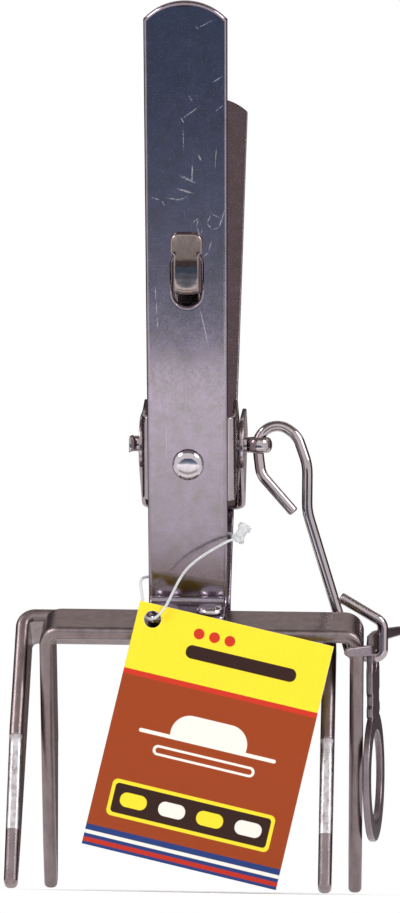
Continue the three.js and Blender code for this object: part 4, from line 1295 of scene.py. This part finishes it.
def glow_card(name, place, aim, size, shades, strength=1):
    """A glowing card that only mirrors see, painting a reflection into the metal: a shade, or stops that run
    up it, or away from the trap on the floor.
    """
    mesh = flat_square(0.5)
    layer = mesh.loops.layers.uv.new("card")
    for face in mesh.faces:
        for corner in face.loops:
            corner[layer].uv = (corner.vert.co.x + 0.5, corner.vert.co.y + 0.5)
    turn = (Vector(aim) - Vector(place)).to_track_quat("Z", "Y").to_matrix().to_4x4()
    shape = Matrix.Diagonal((size[0], size[1], 1, 1))
    bmesh.ops.transform(mesh, matrix=Matrix.Translation(place) @ turn @ shape, verts=mesh.verts)
    material = bpy.data.materials.new(name)
    material.use_nodes = True
    tree = material.node_tree
    tree.nodes.clear()
    own = add(tree, "ShaderNodeUVMap", uv_map="card").outputs[0]
    up = add(tree, "ShaderNodeSeparateXYZ", Vector=own).outputs["Y"]
    stops = ((0, shades), (1, shades)) if isinstance(shades, str) else shades
    light = add(tree, "ShaderNodeEmission", Strength=strength, Color=ramp(up, *stops))
    add(tree, "ShaderNodeOutputMaterial", Surface=light.outputs[0])
    made = in_scene(name, mesh_data(name, mesh))
    made.data.materials.append(material)
    made.visible_camera = False
    made.visible_diffuse = False
    made.visible_shadow = False
    made.visible_transmission = False
    return made


def shown_rays(tree):
    """One for the rays that show the background itself, and none for those that only light the trap."""
    rays = add(tree, "ShaderNodeLightPath").outputs
    return larger(larger(rays["Is Camera Ray"], rays["Is Glossy Ray"]), rays["Is Transmission Ray"])


def make_floor():
    made, tree, shader = material_tree(
        "pale matt floor", Base_Color="#f2f2f2", Roughness=0.9, Specular_IOR_Level=0.1,
    )
    # Away from the trap the floor runs into the white surround
    here = add(tree, "ShaderNodeTexCoord").outputs["Object"]
    flat = add(tree, "ShaderNodeMapping", Scale=(1, 1, 0), Vector=here).outputs[0]
    away = add(tree, "ShaderNodeVectorMath", operation="LENGTH", _0=flat).outputs["Value"]
    fade = times(ramp(away, (0.012, 0), (0.055, 1)), shown_rays(tree))
    white = add(tree, "ShaderNodeEmission", Color="#ffffff").outputs[0]
    mix = add(tree, "ShaderNodeMixShader", Fac=fade, _1=shader.outputs[0], _2=white)
    feed(tree.nodes["Material Output"], Surface=mix.outputs[0])
    floor = in_scene("floor", mesh_data("floor", flat_square(4)))
    floor.data.materials.append(made)


def make_world():
    world = bpy.data.worlds.new("white surround")
    bpy.context.scene.world = world
    world.use_nodes = True
    tree = world.node_tree
    tree.nodes.clear()
    light = add(tree, "ShaderNodeBackground", Color="#ffffff", Strength=0.55).outputs[0]
    shown = add(tree, "ShaderNodeBackground", Color="#ffffff", Strength=1).outputs[0]
    mix = add(tree, "ShaderNodeMixShader", Fac=shown_rays(tree), _1=light, _2=shown)
    add(tree, "ShaderNodeOutputWorld", Surface=mix.outputs[0])


def softbox(name, place, size, power):
    data = bpy.data.lights.new(name, "AREA")
    data.shape = "RECTANGLE"
    data.size, data.size_y = size
    data.energy = power
    made = in_scene(name, data)
    made.location = place
    made.rotation_euler = (Vector(place) - PIVOT).to_track_quat("Z", "Y").to_euler()


make_floor()
make_world()
softbox("left softbox", (-0.9, -0.7, 0.9), (0.5, 0.7), 9)
softbox("right softbox", (0.9, -0.6, 0.8), (0.4, 0.7), 7)
softbox("top softbox", (0.0, 0.1, 1.3), (0.8, 0.6), 8)

# Glowing cards on the floor before the trap that paint reflections into the metal, each with its middle,
# height above the ground, size, strength and shades
for name, y, rise, size, strength, shades in (
    ("slate floor flag", -0.25125, 0.0005, (0.3, 0.2175), 1, (
        (0, "#ffffff"), (0.03, "#e8ecf1"), (0.065, "#b2bcc8"), (0.13, "#a0abb9"), (0.3, "#8291a6"),
        (0.506, "#64778f"), (1, "#5c7690"),
    )),
    ("white floor card", -0.1165, 0.0008, (0.3, 0.063), 1.6, (
        (0, "#e2e2e2"), (0.3, "#e8e8e8"), (0.635, "#f8f8f8"), (0.8, "#ffffff"), (1, "#f8f8f8"),
    )),
    ("brown floor flag", -0.48, 0.0005, (0.3, 0.24), 1, ((0, "#4a3c36"), (1, "#8a7a70"))),
    # This card's darker band is painted shade: a reflection in the handles' feet and the claws' edges that
    # stands in for the trap's own shadow on the floor by its feet
    ("brown foot flag", -0.0455, 0.0005, (0.14, 0.071), 1.25, (
        (0, "#dcd8d6"), (0.21, "#f8f6f5"), (0.5, "#f8f6f5"), (0.7, "#b8b2ae"), (0.82, "#8c8681"),
        (0.9, "#ccc0b8"), (1, "#e6e0dc"),
    )),
):
    glow_card(name, (0, y, rise), (0, y, 1), size, shades, strength)
# Glowing cards above the trap, seen only in the metal: they paint darker brown and grey reflections into its
# upward faces and the wire's top
glow_card("brown ceiling flag", (0, -0.55, 0.94), PIVOT, (1.4, 0.5), "#938680")
glow_card("brown overhead flag", (0, 0.02, 0.95), (0, 0.02, 0), (1.6, 0.7), "#6a5f5c")
glow_card("grey top flag", (0, 0.42, 0.5), PIVOT, (1.1, 0.3), ((0, "#bdb4b1"), (1, "#c4bcb9")))
# A pale glowing strip behind the trap paints a highlight into the metal
glow_card("pale back strip", (0.027, 0.395, 0.2), (0.027, 0, 0.2), (0.022, 0.4), "#b4a8a6")
# Dark brown glowing cards behind and beside the trap, seen only in the metal, paint darker reflections into
# it, such as the dark outlines of the wire
BACK_REFLECTION_SHADES = ((0, "#4a3f3e"), (1, "#54474a"))
glow_card("brown back wall", (0, 0.4, 0.2), (0, 0, 0.2), (0.8, 0.4), BACK_REFLECTION_SHADES)
for side in (-0.4, 0.4):
    glow_card("brown side wall", (side, 0.19, 0.175), (0, 0.19, 0.175), (0.42, 0.35), BACK_REFLECTION_SHADES)

bpy.context.scene.view_settings.view_transform = "Standard"
